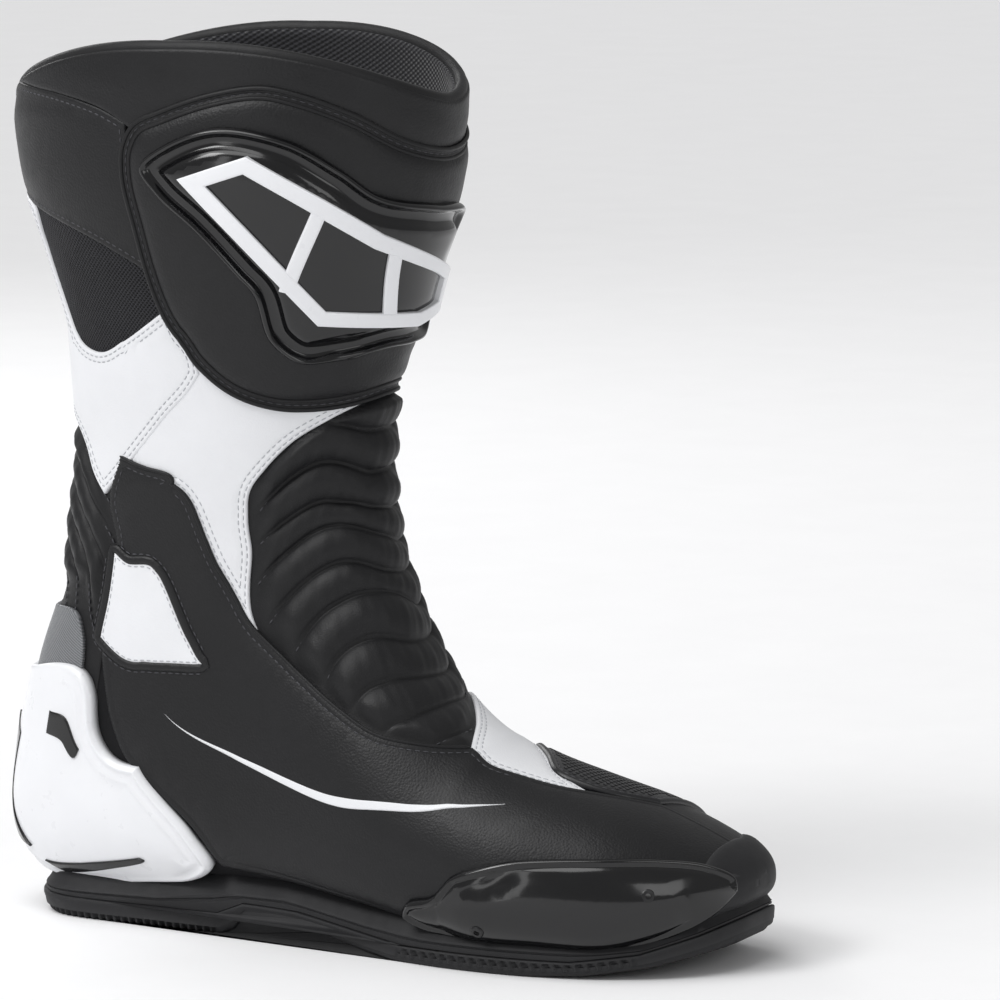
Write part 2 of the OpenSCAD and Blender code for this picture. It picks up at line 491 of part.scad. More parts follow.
// A slice of the sole between two height lines, with the given inset from the plan.
module sole_slice(low, low_shift, high, high_shift, half_w = 60)
    translate([-half_w, 0, 0]) rotate([90, 0, 90])
        linear_extrude(2 * half_w) polygon(concat(heights(low, low_shift), reversed(heights(high, high_shift))));

groove_pitch = 13;
module outsole() color(rubber)
    difference() {
        intersection() {
            linear_extrude(40) plan(0);
            sole_slice(GROUND, 0, SOLE_TOP, 0);
        }
        // heel grooves, clear of the flat face at the centre
        for (y = [-40:groove_pitch:32])
            if (abs(y) > 8)
                translate([-60, y - groove_w / 2, -1]) cube([120, groove_w, groove_d + 1]);
        // forefoot grooves, slanted both ways from the middle
        for (side = [-1, 1]) for (y = [118:groove_pitch:196])
            translate([side * 6, y, -1]) rotate([0, 0, side > 0 ? 24 : 156])
                translate([0, -groove_w / 2, 0]) cube([70, groove_w, groove_d + 1]);
    }
shank_y = -18;
module shank() color("#9a9c9f")
    intersection() {
        translate([-shank_w / 2, shank_y, 0]) cube([shank_w, shank_l, 40]);
        sole_slice(MID_TOP, -1.6, MID_TOP, -0.4);
    }
module midsole() color("#4a4a4e")
    difference() {
        intersection() {
            linear_extrude(40) plan(3);
            sole_slice(SOLE_TOP, gap, MID_TOP, -0.2);
        }
        translate([-shank_w / 2 - 0.1, shank_y - 0.1, 0])
            intersection() {
                cube([shank_w + 0.2, shank_l + 0.2, 40]);
                translate([shank_w / 2 + 0.1, -shank_y + 0.1, 0]) sole_slice(MID_TOP, -1.7, MID_TOP, 5);
            }
    }

outsole();
midsole();
shank();
footbed();
foot_shell();
foot_lining();
toe_puff();
heel_stiffener();
toe_cap();
shift_pad();
vamp_saddle();
lateral_quarter();
medial_quarter();
side_stripe();
ankle_inset();
heel_counter();
heel_inlay();
heel_vents();
heel_reflector();
toe_slider();
slider_screws();
toe_bumper();
ankle_gusset();
front_bellows();
rear_bellows();
shaft_shell();
shaft_lining();
shin_foam();
collar_foam();
ankle_guards();
collar();
calf_panel();
mesh_panel();
rear_panel();
side_wedge();
shin_panel();
shin_plate();
shin_emblem();
medial_strip();
medial_panel();
zip_tape_front();
zip_tape_rear();
zip_teeth();
zip_stops();
zip_gusset();
loop_patch();
closure_flap();
hook_patch();
zip_slider();
zip_pull();
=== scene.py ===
"""Looks of a right road-racing motorcycle boot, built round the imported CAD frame.

Lengths in the tables are millimetres, and meshes are written in metres.
"""
import math

import bpy
import numpy as np
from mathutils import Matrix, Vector, geometry
from mathutils.kdtree import KDTree


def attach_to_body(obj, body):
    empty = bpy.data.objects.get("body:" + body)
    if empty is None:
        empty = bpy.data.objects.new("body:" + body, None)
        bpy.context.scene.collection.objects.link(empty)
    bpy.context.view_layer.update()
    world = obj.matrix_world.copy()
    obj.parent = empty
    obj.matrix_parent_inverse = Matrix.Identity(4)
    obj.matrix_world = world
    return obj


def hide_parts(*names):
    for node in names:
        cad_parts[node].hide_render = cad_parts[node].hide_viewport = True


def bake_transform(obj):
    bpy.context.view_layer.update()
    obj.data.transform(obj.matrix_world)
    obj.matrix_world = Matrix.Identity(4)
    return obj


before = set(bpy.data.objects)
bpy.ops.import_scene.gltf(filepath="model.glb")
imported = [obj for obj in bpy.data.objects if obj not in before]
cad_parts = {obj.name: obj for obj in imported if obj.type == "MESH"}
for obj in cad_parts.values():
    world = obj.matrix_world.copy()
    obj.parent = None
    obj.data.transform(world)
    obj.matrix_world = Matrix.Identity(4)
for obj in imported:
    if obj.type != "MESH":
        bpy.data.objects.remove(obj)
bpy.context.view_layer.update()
MM = 0.001

# ---------------------------------------------------------------- the boot's surface
# The same closed sections as the CAD source: u is the angle round a section (0 front or top, 90 outer
# side, 180 back or sole, -90 inner side) and s the section, from the toe tip to the collar.
STATIONS = np.array(
    [ (0, 178, 206, -11, 40, .60, 2.2, 3.2), (20, 174, 211, -9, 44, .62, 2.2, 3.8),
    (41, 168, 214, -5, 47, .62, 2.2, 4.2), (68, 160, 214, -1, 49, .62, 2.2, 4.4), (88, 153, 214, 1, 49, .62, 2.1, 4.4),
    (102, 145, 212, 2, 47, .62, 2.0, 4.4), (116, 127, 212, 2, 44, .62, 2.0, 4.2),
    (130, 106, 221, 1, 40, .62, 2.0, 4.0), (143, 90, 243, 0, 37, .60, 2.0, 3.8), (157, 75, 276, 0, 35, .58, 2.0, 3.4),
    (163, 71, 277, 0, 34, .56, 2.0, 3.0), (170, 65, 256, 0, 34, .56, 2.0, 2.6), (177, 61, 233, 0, 34, .55, 2.0, 2.5),
    (185, 57, 207, 0, 35, .54, 2.0, 2.3), (195, 53, 191, 0, 37, .53, 2.0, 2.2), (205, 50, 180, 0, 39, .52, 2.0, 2.2),
    (225, 46, 177, 0, 44, .50, 2.0, 2.2), (255, 39, 186, 0, 50, .50, 2.1, 2.1), (285, 27, 197, 0, 55, .50, 2.1, 2.1),
    (315, 21, 199, 0, 57, .50, 2.1, 2.1), (345, 20, 197, 0, 57, .50, 2.1, 2.1)], float)
FAN_Y, FAN_Z, FAN_S0, FAN_S1 = 140.0, 225.0, 100.0, 225.0
TIP_S, TIP_R, TIP_POWER = 50.0, 193.0, 0.85


def hermite(x, xs, ys):
    """Smooth curve through the points (xs, ys), with the CAD source's slopes."""
    xs, ys = np.asarray(xs, float), np.asarray(ys, float)
    one = ys.ndim == 1
    ys = ys[:, None] if one else ys
    before, after = np.maximum(np.arange(len(xs)) - 1, 0), np.minimum(np.arange(len(xs)) + 1, len(xs) - 1)
    m = (ys[after] - ys[before]) / (xs[after] - xs[before])[:, None]
    x = np.asarray(x, float)
    i = np.clip(np.searchsorted(xs, x, side="right") - 1, 0, len(xs) - 2)
    h = xs[i + 1] - xs[i]
    t = np.clip((x - xs[i]) / h, 0, 1)[..., None]
    h = h[..., None]
    y = ((2 * t**3 - 3 * t**2 + 1) * ys[i] + (t**3 - 2 * t**2 + t) * h * m[i]
         + (3 * t**2 - 2 * t**3) * ys[i + 1] + (t**3 - t**2) * h * m[i + 1])
    return y[..., 0] if one else y


def skin(u, s, o=0.0):
    """Points of the surface offset outwards by o, in millimetres."""
    u, s, o = np.broadcast_arrays(np.asarray(u, float), np.asarray(s, float), np.asarray(o, float))
    k = hermite(s, STATIONS[:, 0], STATIONS[:, 1:])
    tip = s < TIP_S
    q = np.where(tip, np.sqrt(np.clip(1 - (1 - np.minimum(s, TIP_S) / TIP_S)**2, 0, 1))**TIP_POWER, 1.0)
    rf = np.where(tip, TIP_R - (TIP_R - k[..., 0] + o) * q, k[..., 0] - o)
    rb = np.where(tip, TIP_R + (k[..., 1] - TIP_R + o) * q, k[..., 1] + o)
    w = (k[..., 3] + o) * q
    a = np.radians(u)
    c, sn = np.cos(a), np.sin(a)
    front = c > 0
    p = 2 / np.where(front, k[..., 5], k[..., 6])
    ac, as_ = np.abs(c)**p, np.abs(sn)**p
    sm = k[..., 4]
    t = np.where(front, sm * (1 - ac), sm + (1 - sm) * ac)
    r = rf + (rb - rf) * t
    fan = np.radians(90 * np.clip((s - FAN_S0) / (FAN_S1 - FAN_S0), 0, 1))
    nose = np.where(tip, o * (1 - s / TIP_S), 0.0)
    return np.stack([k[..., 2] + w * np.sign(sn) * as_,
                     FAN_Y + np.maximum(FAN_S0 - s, 0) + nose - r * np.sin(fan),
                     FAN_Z + np.maximum(s - FAN_S1, 0) - r * np.cos(fan)], -1)


def unit(v):
    return v / np.maximum(np.linalg.norm(v, axis=-1, keepdims=True), 1e-9)


def tangents(u, s):
    """Change of the surface point per degree of u and per unit of s."""
    u, s = np.asarray(u, float), np.maximum(np.asarray(s, float), 0.6)
    du, ds = 0.5, 0.5
    return ((skin(u + du, s) - skin(u - du, s)) / (2 * du), (skin(u, s + ds) - skin(u, s - ds)) / (2 * ds))


def normal(u, s):
    pu, ps = tangents(u, s)
    return unit(np.cross(ps, pu))


def on(u, s, h=0.0):
    """Points h millimetres over the surface, along its true normal."""
    return skin(u, s) + np.asarray(h, float)[..., None] * normal(u, s)


def collar_edge(u):
    c, sn = np.cos(np.radians(u)), np.sin(np.radians(u))
    return 313 + 25 * np.abs(sn)**1.6 + np.where(c > 0, 5 * c, 0)


def smooth(x):
    x = np.clip(x, 0, 1)
    return x * x * (3 - 2 * x)


def table(x, pairs):
    a = np.array(pairs, float)
    return np.interp(x, a[:, 0], a[:, 1])


# ---------------------------------------------------------------- materials
VARY_SCALE = 18.0  # patches of colour per metre


def srgb(r, g, b):
    return tuple(((c / 255 / 12.92) if c <= 10 else ((c / 255 + 0.055) / 1.055)**2.4) for c in (r, g, b)) + (1.0,)


def material(name, base, rough, bumps=(), vary=0.12, rough_vary=0.08, metallic=0.0, coat=0.0, coat_rough=0.1,
             sheen=0.0, specular=0.5, pattern=None, edge=0.0):
    """A node material.

    bumps: (kind, scale per metre, depth in mm); vary: share by which the colour changes over the piece;
    pattern: the colour between a weave's threads; edge: how much lighter rubbed edges are.
    """
    m = bpy.data.materials.new(name)
    m.use_nodes = True
    nodes, link = m.node_tree.nodes, m.node_tree.links.new
    nodes.clear()

    def node(kind, attrs=(), **inputs):
        n = nodes.new("ShaderNode" + kind)
        for key, value in dict(attrs).items():
            setattr(n, key, value)
        for key, value in inputs.items():
            fill(n.inputs[key.replace("_", " ")], value)
        return n

    def fill(socket, value):
        if isinstance(value, bpy.types.NodeSocket):
            link(value, socket)
        else:
            socket.default_value = value

    def calc(operation, *values):
        n = node("Math", {"operation": operation})
        for socket, value in zip(n.inputs, values):
            fill(socket, value)
        return n.outputs[0]

    def mix(a, b, value, low, high):
        factor = node("MapRange", From_Min=low, From_Max=high, Value=value).outputs["Result"]
        return node("Mix", {"data_type": "RGBA"}, Factor=factor, A=a, B=b).outputs["Result"]

    coords = node("TexCoord").outputs["Object"]
    base = np.array(base)
    ramp = node("ValToRGB", Fac=node("TexNoise", Scale=VARY_SCALE, Detail=6.0, Roughness=0.65,
                                     Vector=coords).outputs["Fac"])
    for element, place, shade in zip(ramp.color_ramp.elements, (0.3, 0.7), (1 - vary, 1 + vary)):
        element.position, element.color = place, (*np.minimum(base * shade, 1.0)[:3], 1)
    colour = ramp.outputs["Color"]
    patches = node("TexNoise", Scale=VARY_SCALE * 9, Detail=4.0, Vector=coords).outputs["Fac"]
    roughness = node("MapRange", To_Min=max(rough - rough_vary, 0.02), To_Max=min(rough + rough_vary, 1.0),
                     Value=patches).outputs["Result"]
    if edge:
        worn = tuple(min(c + edge, 1) for c in base[:3]) + (1,)
        colour = mix(colour, worn, node("NewGeometry").outputs["Pointiness"], 0.52, 0.62)
    relief = None
    for kind, scale, depth in bumps:
        if kind == "grain":
            height = node("TexVoronoi", {"feature": "SMOOTH_F1"}, Smoothness=0.6, Scale=scale,
                          Vector=coords).outputs["Distance"]
            depth = -depth
        elif kind == "weave":
            uv = node("SeparateXYZ", Vector=node("UVMap", {"uv_map": "UVMap"}).outputs["UV"])
            height = calc("MULTIPLY", *(calc("SINE", calc("MULTIPLY", uv.outputs[axis], scale * 2 * math.pi))
                                        for axis in (0, 1)))
        else:
            height = node("TexNoise", Scale=scale, Detail=5.0, Vector=coords).outputs["Fac"]
        bump = node("Bump", {"invert": depth < 0}, Distance=abs(depth) * MM, Strength=1.0, Height=height)
        if relief:
            link(relief, bump.inputs["Normal"])
        relief = bump.outputs["Normal"]
        if kind == "weave" and pattern:
            colour = mix(colour, pattern, height, -0.1, 0.35)
    shader = node("BsdfPrincipled", Metallic=metallic, Coat_Weight=coat, Coat_Roughness=coat_rough,
                  Sheen_Weight=sheen, Specular_IOR_Level=specular, Base_Color=colour, Roughness=roughness)
    if relief:
        link(relief, shader.inputs["Normal"])
    link(shader.outputs[0], node("OutputMaterial").inputs[0])
    return m


MAT = {
     "leather": material("black_microfibre", srgb(18, 18, 20), 0.46, [("grain", 1150, .10), ("noise", 160, .12)],
    vary=.22, specular=.36, edge=.012), "soft": material("black_stretch", srgb(16, 16, 18), 0.52,
    [("grain", 1700, .06), ("noise", 240, .10)], vary=.22, specular=.34, sheen=.03),
    "white": material("white_microfibre", srgb(228, 229, 232), 0.46, [("grain", 1500, .045), ("noise", 120, .08)],
    vary=.035, specular=.45), "tpu_white": material("white_moulding", srgb(233, 234, 237), 0.30,
    [("noise", 420, .012)], vary=.03, specular=.5, coat=.25, coat_rough=.22), "gloss": material("gloss_moulding",
    srgb(9, 9, 11), 0.16, [("noise", 60, .02)], vary=.3, rough_vary=.05, specular=.42, coat=.3, coat_rough=.07),
    "satin": material("satin_moulding", srgb(17, 17, 19), 0.34, [("noise", 900, .02)], vary=.2, specular=.5),
    "rubber": material("outsole_rubber", srgb(31, 31, 33), 0.62, [("noise", 1300, .05), ("noise", 90, .08)], vary=.25,
    specular=.35, edge=.02), "pad": material("pad_rubber", srgb(19, 19, 22), 0.36, [("noise", 1500, .02)], vary=.2,
    specular=.5), "mesh": material("airflow_mesh", srgb(50, 50, 54), 0.7, [("weave", 560, .45)], vary=.15,
    specular=.25, pattern=srgb(7, 7, 8)), "lining": material("lining_knit", srgb(46, 46, 50), 0.85,
    [("weave", 500, .3), ("noise", 700, .1)], vary=.2, specular=.2, sheen=.35, pattern=srgb(26, 26, 29)),
    "backing": material("backing_fabric", srgb(20, 20, 22), 0.8, [("noise", 1600, .12)], vary=.25, specular=.25),
    "thread": material("black_thread", srgb(64, 64, 68), 0.6, [("noise", 2600, .06)], vary=.2, specular=.4),
    "thread_white": material("white_thread", srgb(178, 180, 184), 0.6, [("noise", 2600, .06)], vary=.08),
    "metal": material("zip_metal", srgb(120, 121, 124), 0.34, [("noise", 500, .02)], vary=.12, metallic=1.0),
    "plastic": material("zip_plastic", srgb(50, 50, 53), 0.42, [("noise", 1200, .02)], vary=.2),
    "tape": material("zip_tape", srgb(30, 30, 33), 0.85, [("weave", 700, .2), ("noise", 1500, .08)], vary=.2,
    specular=.2, pattern=srgb(18, 18, 20)), "velcro": material("hook_and_loop", srgb(22, 22, 24), 0.95,
    [("noise", 2200, .5), ("noise", 600, .3)], vary=.35, specular=.15, sheen=.5),
    "reflector": material("reflective_weave", srgb(150, 152, 155), 0.38, [("weave", 950, .12)], vary=.1, metallic=.35,
    pattern=srgb(88, 90, 93)), }
# Material slot names for what each material is used on; make() looks them up but keeps them nowhere.
SLOT = {
    "leather": "black_microfibre", "soft": "black_microfibre", "white": "white_microfibre",
    "tpu_white": "white_plastic", "gloss": "gloss_black", "pad": "pad_rubber", "mesh": "mesh", "lining": "lining",
    "backing": "backing", "reflector": "reflector", "tape": "tape", "velcro": "tape", "plastic": "zip_plastic",
    "metal": "metal"}

# ---------------------------------------------------------------- mesh helpers
FLEX_LOW, FLEX_HIGH = (0, .012, .100), (0, .012, .185)  # metres: where the ankle's bend starts and ends


def attach(obj, body=None):
    """Rides on the foot or the shaft where the piece is clear of the ankle; where not, its transform is baked into the
    mesh and it rides on neither.
    """
    if body:
        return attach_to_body(obj, body)
    z = np.array([v.co.z for v in obj.data.vertices])
    if z.max() < FLEX_LOW[2] + .001:
        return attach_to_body(obj, "foot")
    if z.min() > FLEX_HIGH[2] - .004:
        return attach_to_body(obj, "shaft")
    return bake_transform(obj)


def make(name, verts, faces, mat, body=None, slot=None, replaces=(), uv=None, flat=False, auto=None):
    me = bpy.data.meshes.new(name)
    me.from_pydata([tuple(v) for v in np.asarray(verts, float) * MM], [], [tuple(int(i) for i in f) for f in faces])
    me.validate()
    me.polygons.foreach_set("use_smooth", [not flat] * len(me.polygons))
    if uv is not None:
        layer = me.uv_layers.new(name="UVMap")
        idx = np.zeros(len(me.loops), np.int32)
        me.loops.foreach_get("vertex_index", idx)
        layer.data.foreach_set("uv", (np.asarray(uv, float)[idx] * MM).astype(np.float32).ravel())
    me.update()
    obj = bpy.data.objects.new(name, me)
    bpy.context.scene.collection.objects.link(obj)
    me.materials.append(MAT[mat])
    if auto:
        me.set_sharp_from_angle(angle=math.radians(auto))
    attach(obj, body)
    slot = slot or SLOT.get(mat)
    if replaces:
        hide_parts(*replaces)
    return obj


def merged(parts):
    """Joins (verts, faces) parts into one."""
    vs, fs, n = [], [], 0
    for v, f in parts:
        vs.append(np.asarray(v, float))
        fs += [tuple(i + n for i in face) for face in f]
        n += len(v)
    return np.concatenate(vs), fs


def grid_solid(U, S, low, high, ring=False, cap=False):
    """Closed sheet on arrays U, S (rows along s, columns along u), from height low to height high."""
    nb, na = U.shape
    low, high = np.broadcast_to(low, U.shape), np.broadcast_to(high, U.shape)
    top, bottom = on(U, S, high).reshape(-1, 3), on(U, S, low).reshape(-1, 3)
    n = nb * na
    idx = np.arange(n).reshape(nb, na)
    faces = []
    cols = na if ring else na - 1
    for j in range(nb - 1):
        for i in range(cols):
            a, b, c, d = idx[j, i], idx[j, (i + 1) % na], idx[j + 1, (i + 1) % na], idx[j + 1, i]
            faces.append((a, d, c, b))
            faces.append((a + n, b + n, c + n, d + n))
    for i in range(cols):
        a, b = idx[0, i], idx[0, (i + 1) % na]
        if not cap:
            faces.append((a, b, b + n, a + n))
        a, b = idx[-1, i], idx[-1, (i + 1) % na]
        faces.append((b, a, a + n, b + n))
    if not ring:
        for j in range(nb - 1):
            a, b = idx[j, 0], idx[j + 1, 0]
            faces.append((b, a, a + n, b + n))
            a, b = idx[j, -1], idx[j + 1, -1]
            faces.append((a, b, b + n, a + n))
    if cap:
        faces.append(tuple(idx[0, ::-1])[::-1])
        faces.append(tuple(idx[0] + n)[::-1])
    return np.concatenate([top, bottom]), faces


def lattice(n, rows, closed):
    """Faces of a pipe whose skin has rows lines of n points each, joined round; open ends are capped."""
    faces = []
    for k in range(rows):
        k2 = (k + 1) % rows
        for i in range(n if closed else n - 1):
            j = (i + 1) % n
            faces.append((k * n + i, k * n + j, k2 * n + j, k2 * n + i))
    if not closed:
        faces.append(tuple(k * n for k in range(rows)))
        faces.append(tuple(k * n + n - 1 for k in range(rows))[::-1])
    return faces


def tube(points, ups, radius, closed=False, sides=8, squash=1.0, taper=False):
    """A cord along 3-D points; ups are the surface normals there."""
    p, n = np.asarray(points, float), len(points)
    if closed:
        t = unit(np.roll(p, -1, 0) - np.roll(p, 1, 0))
    else:
        t = unit(np.gradient(p, axis=0))
    side = unit(np.cross(t, ups))
    up = np.cross(side, t)
    r = np.full(n, radius, float)
    if taper and not closed:
        d = np.r_[0, np.cumsum(np.linalg.norm(np.diff(p, axis=0), axis=1))]
        e = np.minimum(d, d[-1] - d)
        r *= np.sqrt(np.clip(e / (2.5 * radius), .08, 1))
    verts = np.concatenate([p + r[:, None] * (math.cos(a) * side + squash * math.sin(a) * up)
                            for a in np.arange(sides) * 2 * math.pi / sides])
    return verts, lattice(n, sides, closed)


def chart(us, ss):
    """A flat map, near to millimetres both ways, round the middle of a patch, and its inverse."""
    u0, u1, s0, s1 = us.min() - 6, us.max() + 6, max(ss.min() - 4, 0.6), ss.max() + 4
    sm = (ss.min() + ss.max()) / 2
    fine = np.logspace(-4, .5, 40)
    ug = np.concatenate([np.linspace(u0, u1, 500)] + [c + e * fine for c in (-270, -90, 90, 270) for e in (-1, 1)])
    ug = np.unique(ug[(ug >= u0) & (ug <= u1)])
    sg = np.linspace(s0, s1, 300)
    a = np.r_[0, np.cumsum(np.maximum(np.linalg.norm(np.diff(skin(ug, np.full(len(ug), sm)), axis=0), axis=1),
                                      np.diff(ug) * .02))]
    k = np.mean([np.linalg.norm(tangents(np.full(60, w), np.linspace(s0, s1, 60))[1], axis=1)
                 for w in np.linspace(us.min(), us.max(), 7)], 0)
    b = np.r_[0, np.cumsum(np.diff(sg) * np.interp((sg[1:] + sg[:-1]) / 2, np.linspace(s0, s1, 60), np.maximum(k, .3)))]
    return (lambda u, s: np.stack([np.interp(u, ug, a), np.interp(s, sg, b)], -1),
            lambda q: (np.interp(q[..., 0], a, ug), np.interp(q[..., 1], b, sg)))


def spline(ctrl, closed, step, to_chart, from_chart):
    """Centripetal Catmull-Rom through (u, s[, corner]) points; returns u, s and the index of each control point."""
    c = [tuple(p) + (0,) * (3 - len(p)) for p in ctrl]
    q = to_chart(np.array([p[0] for p in c], float), np.array([p[1] for p in c], float))
    n, out, marks = len(c), [], []
    for i in range(n if closed else n - 1):
        marks.append(len(out))
        p1, p2 = q[i], q[(i + 1) % n]
        first, last = (not closed and i == 0), (not closed and i == n - 2)
        p0 = 2 * p1 - p2 if (c[i][2] or first) else q[(i - 1) % n]
        p3 = 2 * p2 - p1 if (c[(i + 1) % n][2] or last) else q[(i + 2) % n]
        t0 = 0.0
        t1 = t0 + max(np.linalg.norm(p1 - p0), 1e-6)**.5
        t2 = t1 + max(np.linalg.norm(p2 - p1), 1e-6)**.5
        t3 = t2 + max(np.linalg.norm(p3 - p2), 1e-6)**.5
        m = max(2, int(np.linalg.norm(p2 - p1) / step))
        for t in t1 + (t2 - t1) * np.arange(m) / m:
            a1 = (t1 - t) / (t1 - t0) * p0 + (t - t0) / (t1 - t0) * p1
            a2 = (t2 - t) / (t2 - t1) * p1 + (t - t1) / (t2 - t1) * p2
            a3 = (t3 - t) / (t3 - t2) * p2 + (t - t2) / (t3 - t2) * p3
            b1 = (t2 - t) / (t2 - t0) * a1 + (t - t0) / (t2 - t0) * a2
            b2 = (t3 - t) / (t3 - t1) * a2 + (t - t1) / (t3 - t1) * a3
            out.append((t2 - t) / (t2 - t1) * b1 + (t - t1) / (t2 - t1) * b2)
    if not closed:
        marks.append(len(out))
        out.append(q[-1])
    u, s = from_chart(np.array(out))
    return u, s, marks


def slide(u, s, d, side=1.0, closed=True, maps=None):
    """Moves points of a line on the surface sideways by d millimetres."""
    u, s = np.asarray(u, float), np.asarray(s, float)
    to, back = maps or chart(u, s)
    q, p, e = to(u, s), skin(u, s), .35
    t = unit(np.roll(p, -1, 0) - np.roll(p, 1, 0)) if closed else unit(np.gradient(p, axis=0))
    pa = (skin(*back(q + [e, 0])) - skin(*back(q - [e, 0]))) / (2 * e)
    pb = (skin(*back(q + [0, e])) - skin(*back(q - [0, e]))) / (2 * e)
    b = unit(np.cross(unit(np.cross(pb, pa)), t)) * side
    g11, g12, g22 = (pa * pa).sum(-1), (pa * pb).sum(-1), (pb * pb).sum(-1)
    r1, r2 = (pa * b).sum(-1), (pb * b).sum(-1)
    det = np.maximum(g11 * g22 - g12 * g12, 1e-6)
    d = np.asarray(d, float)
    return back(q + np.stack([d * (g22 * r1 - g12 * r2) / det, d * (g11 * r2 - g12 * r1) / det], -1))


def tree(points):
    kd = KDTree(len(points))
    for i, p in enumerate(points):
        kd.insert(p, i)
    kd.balance()
    return kd


def nearest(kd, points):
    return np.array([kd.find(p)[2] for p in points])


CUT_EDGE = .35  # share of a panel's thickness that stands at its very edge


class Panel:
    """A cut piece lying on the boot: closed outline, rounded edge, height over the surface."""

    def __init__(self, name, ctrl, mat, t=1.3, base=0.4, floor=-.3, round_=1.2, grid=3.0, step=.9, relief=None,
                 rings=(), slot=None, replaces=(), body=None, build=True):
        self.name, self.t, self.base = name, t, base
        us, ss = np.array([p[0] for p in ctrl], float), np.array([p[1] for p in ctrl], float)
        self.to, self.back = chart(us, ss)
        self.u, self.s, self.marks = spline(ctrl, True, step, self.to, self.back)
        q = self.to(self.u, self.s)
        area = (q[:, 0] * np.roll(q[:, 1], -1) - np.roll(q[:, 0], -1) * q[:, 1]).sum()
        self.side = -1.0 if area > 0 else 1.0
        self.edge3 = skin(self.u, self.s)
        self.kd = tree(self.edge3)
        self.relief, self.round_ = relief, round_
        if not build:
            return
        n = len(self.u)
        cu, cs = [self.u], [self.s]
        levels = sorted({round_ * .18, round_ * .5, round_, round_ * 1.7, *rings})
        for d in levels:
            ru, rs = slide(self.u, self.s, d, self.side, maps=(self.to, self.back))
            keep = nearest(self.kd, skin(ru, rs)) > d * .93 - .02
            cu.append(ru[keep])
            cs.append(rs[keep])
        lo, hi = q.min(0), q.max(0)
        gx, gy = np.meshgrid(np.arange(lo[0], hi[0], grid), np.arange(lo[1], hi[1], grid * .87))
        gx = gx + (np.arange(gx.shape[0]) % 2)[:, None] * grid / 2
        gu, gs = self.back(np.stack([gx.ravel(), gy.ravel()], -1))
        inside = self._inside(np.stack([gx.ravel(), gy.ravel()], -1), q)
        gu, gs = gu[inside], gs[inside]
        far = nearest(self.kd, skin(gu, gs)) > levels[-1] + grid * .45
        cu.append(gu[far])
        cs.append(gs[far])
        u, s = np.concatenate(cu), np.concatenate(cs)
        pts = self.to(u, s)
        ins = self._inside(pts[n:], q)
        u, s = np.r_[u[:n], u[n:][ins]], np.r_[s[:n], s[n:][ins]]
        pts = self.to(u, s)
        res = geometry.delaunay_2d_cdt([Vector(p) for p in pts], [], [list(range(n))], 1, 1e-5, True)
        ov, _, faces, orig = res[0], res[1], res[2], res[3]
        pu = np.empty(len(ov))
        ps = np.empty(len(ov))
        bu, bs = self.back(np.array([tuple(v) for v in ov]))
        for i, o in enumerate(orig):
            pu[i], ps[i] = (u[o[0]], s[o[0]]) if o else (bu[i], bs[i])
        self.pu, self.ps = pu, ps
        d = nearest(self.kd, skin(pu, ps))
        on_edge = np.array([bool(o) and o[0] < n for o in orig])
        d[on_edge] = 0
        h = self.height(pu, ps, d)
        nv = len(pu)
        top, bottom = on(pu, ps, h), on(pu, ps, np.full(nv, float(floor)))
        fs, count = [], {}
        tri = []
        mid = np.array([self.to(pu[list(f)], ps[list(f)]).mean(0) for f in faces])
        for f, ok in zip(faces, self._inside(mid, q)):
            f = list(f)
            if not ok:
                continue
            a, b, c = (self.to(pu[f[k]], ps[f[k]]) for k in (0, 1, 2))
            if (b[0] - a[0]) * (c[1] - a[1]) - (b[1] - a[1]) * (c[0] - a[0]) > 0:
                f = f[::-1]
            tri.append(f)
        for f in tri:
            for a, b in zip(f, f[1:] + f[:1]):
                count[(a, b)] = count.get((a, b), 0) + 1
        for f in tri:
            fs.append(tuple(f))
            fs.append(tuple(i + nv for i in f[::-1]))
        for (a, b), c in count.items():
            if (b, a) not in count:
                fs.append((b, a, a + nv, b + nv))
        verts = np.concatenate([top, bottom])
        uv = np.tile(self.to(pu, ps), (2, 1))
        self.obj = make(name, verts, fs, mat, body, slot, replaces, uv)

    @staticmethod
    def _inside(p, poly):
        x, y = p[:, 0], p[:, 1]
        inside = np.zeros(len(p), bool)
        for (x1, y1), (x2, y2) in zip(poly, np.roll(poly, -1, 0)):
            hit = (y1 > y) != (y2 > y)
            inside ^= hit & (x < (x2 - x1) * (y - y1) / ((y2 - y1) or 1e-12) + x1)
        return inside

    def height(self, u, s, d):
        r = self.round_
        x = np.clip(d / r, 0, 1)
        h = self.base + self.t * (CUT_EDGE + (1 - CUT_EDGE) * np.sqrt(np.clip(1 - (1 - x)**2, 0, 1)))
        if self.relief:
            h = h + self.relief(u, s, d)
        return h

    def line(self, i0, i1, d):
        """The outline from control point i0 to i1 (or all of it), moved in by d."""
        n = len(self.u)
        if i0 is None:
            idx, closed = np.arange(n), True
        else:
            a, b = self.marks[i0], (self.marks + [n])[i1] if i1 < len(self.marks) else n
            idx, closed = (np.arange(a, b if b > a else b + n) % n), False
        u, s = slide(self.u, self.s, d, self.side, maps=(self.to, self.back))
        p = skin(u, s)
        ok = nearest(self.kd, p) > d * .93 - .02
        idx = idx[ok[idx]]
        return u[idx], s[idx], closed


# ---------------------------------------------------------------- stitches
STITCHES = {"thread": [], "thread_white": []}


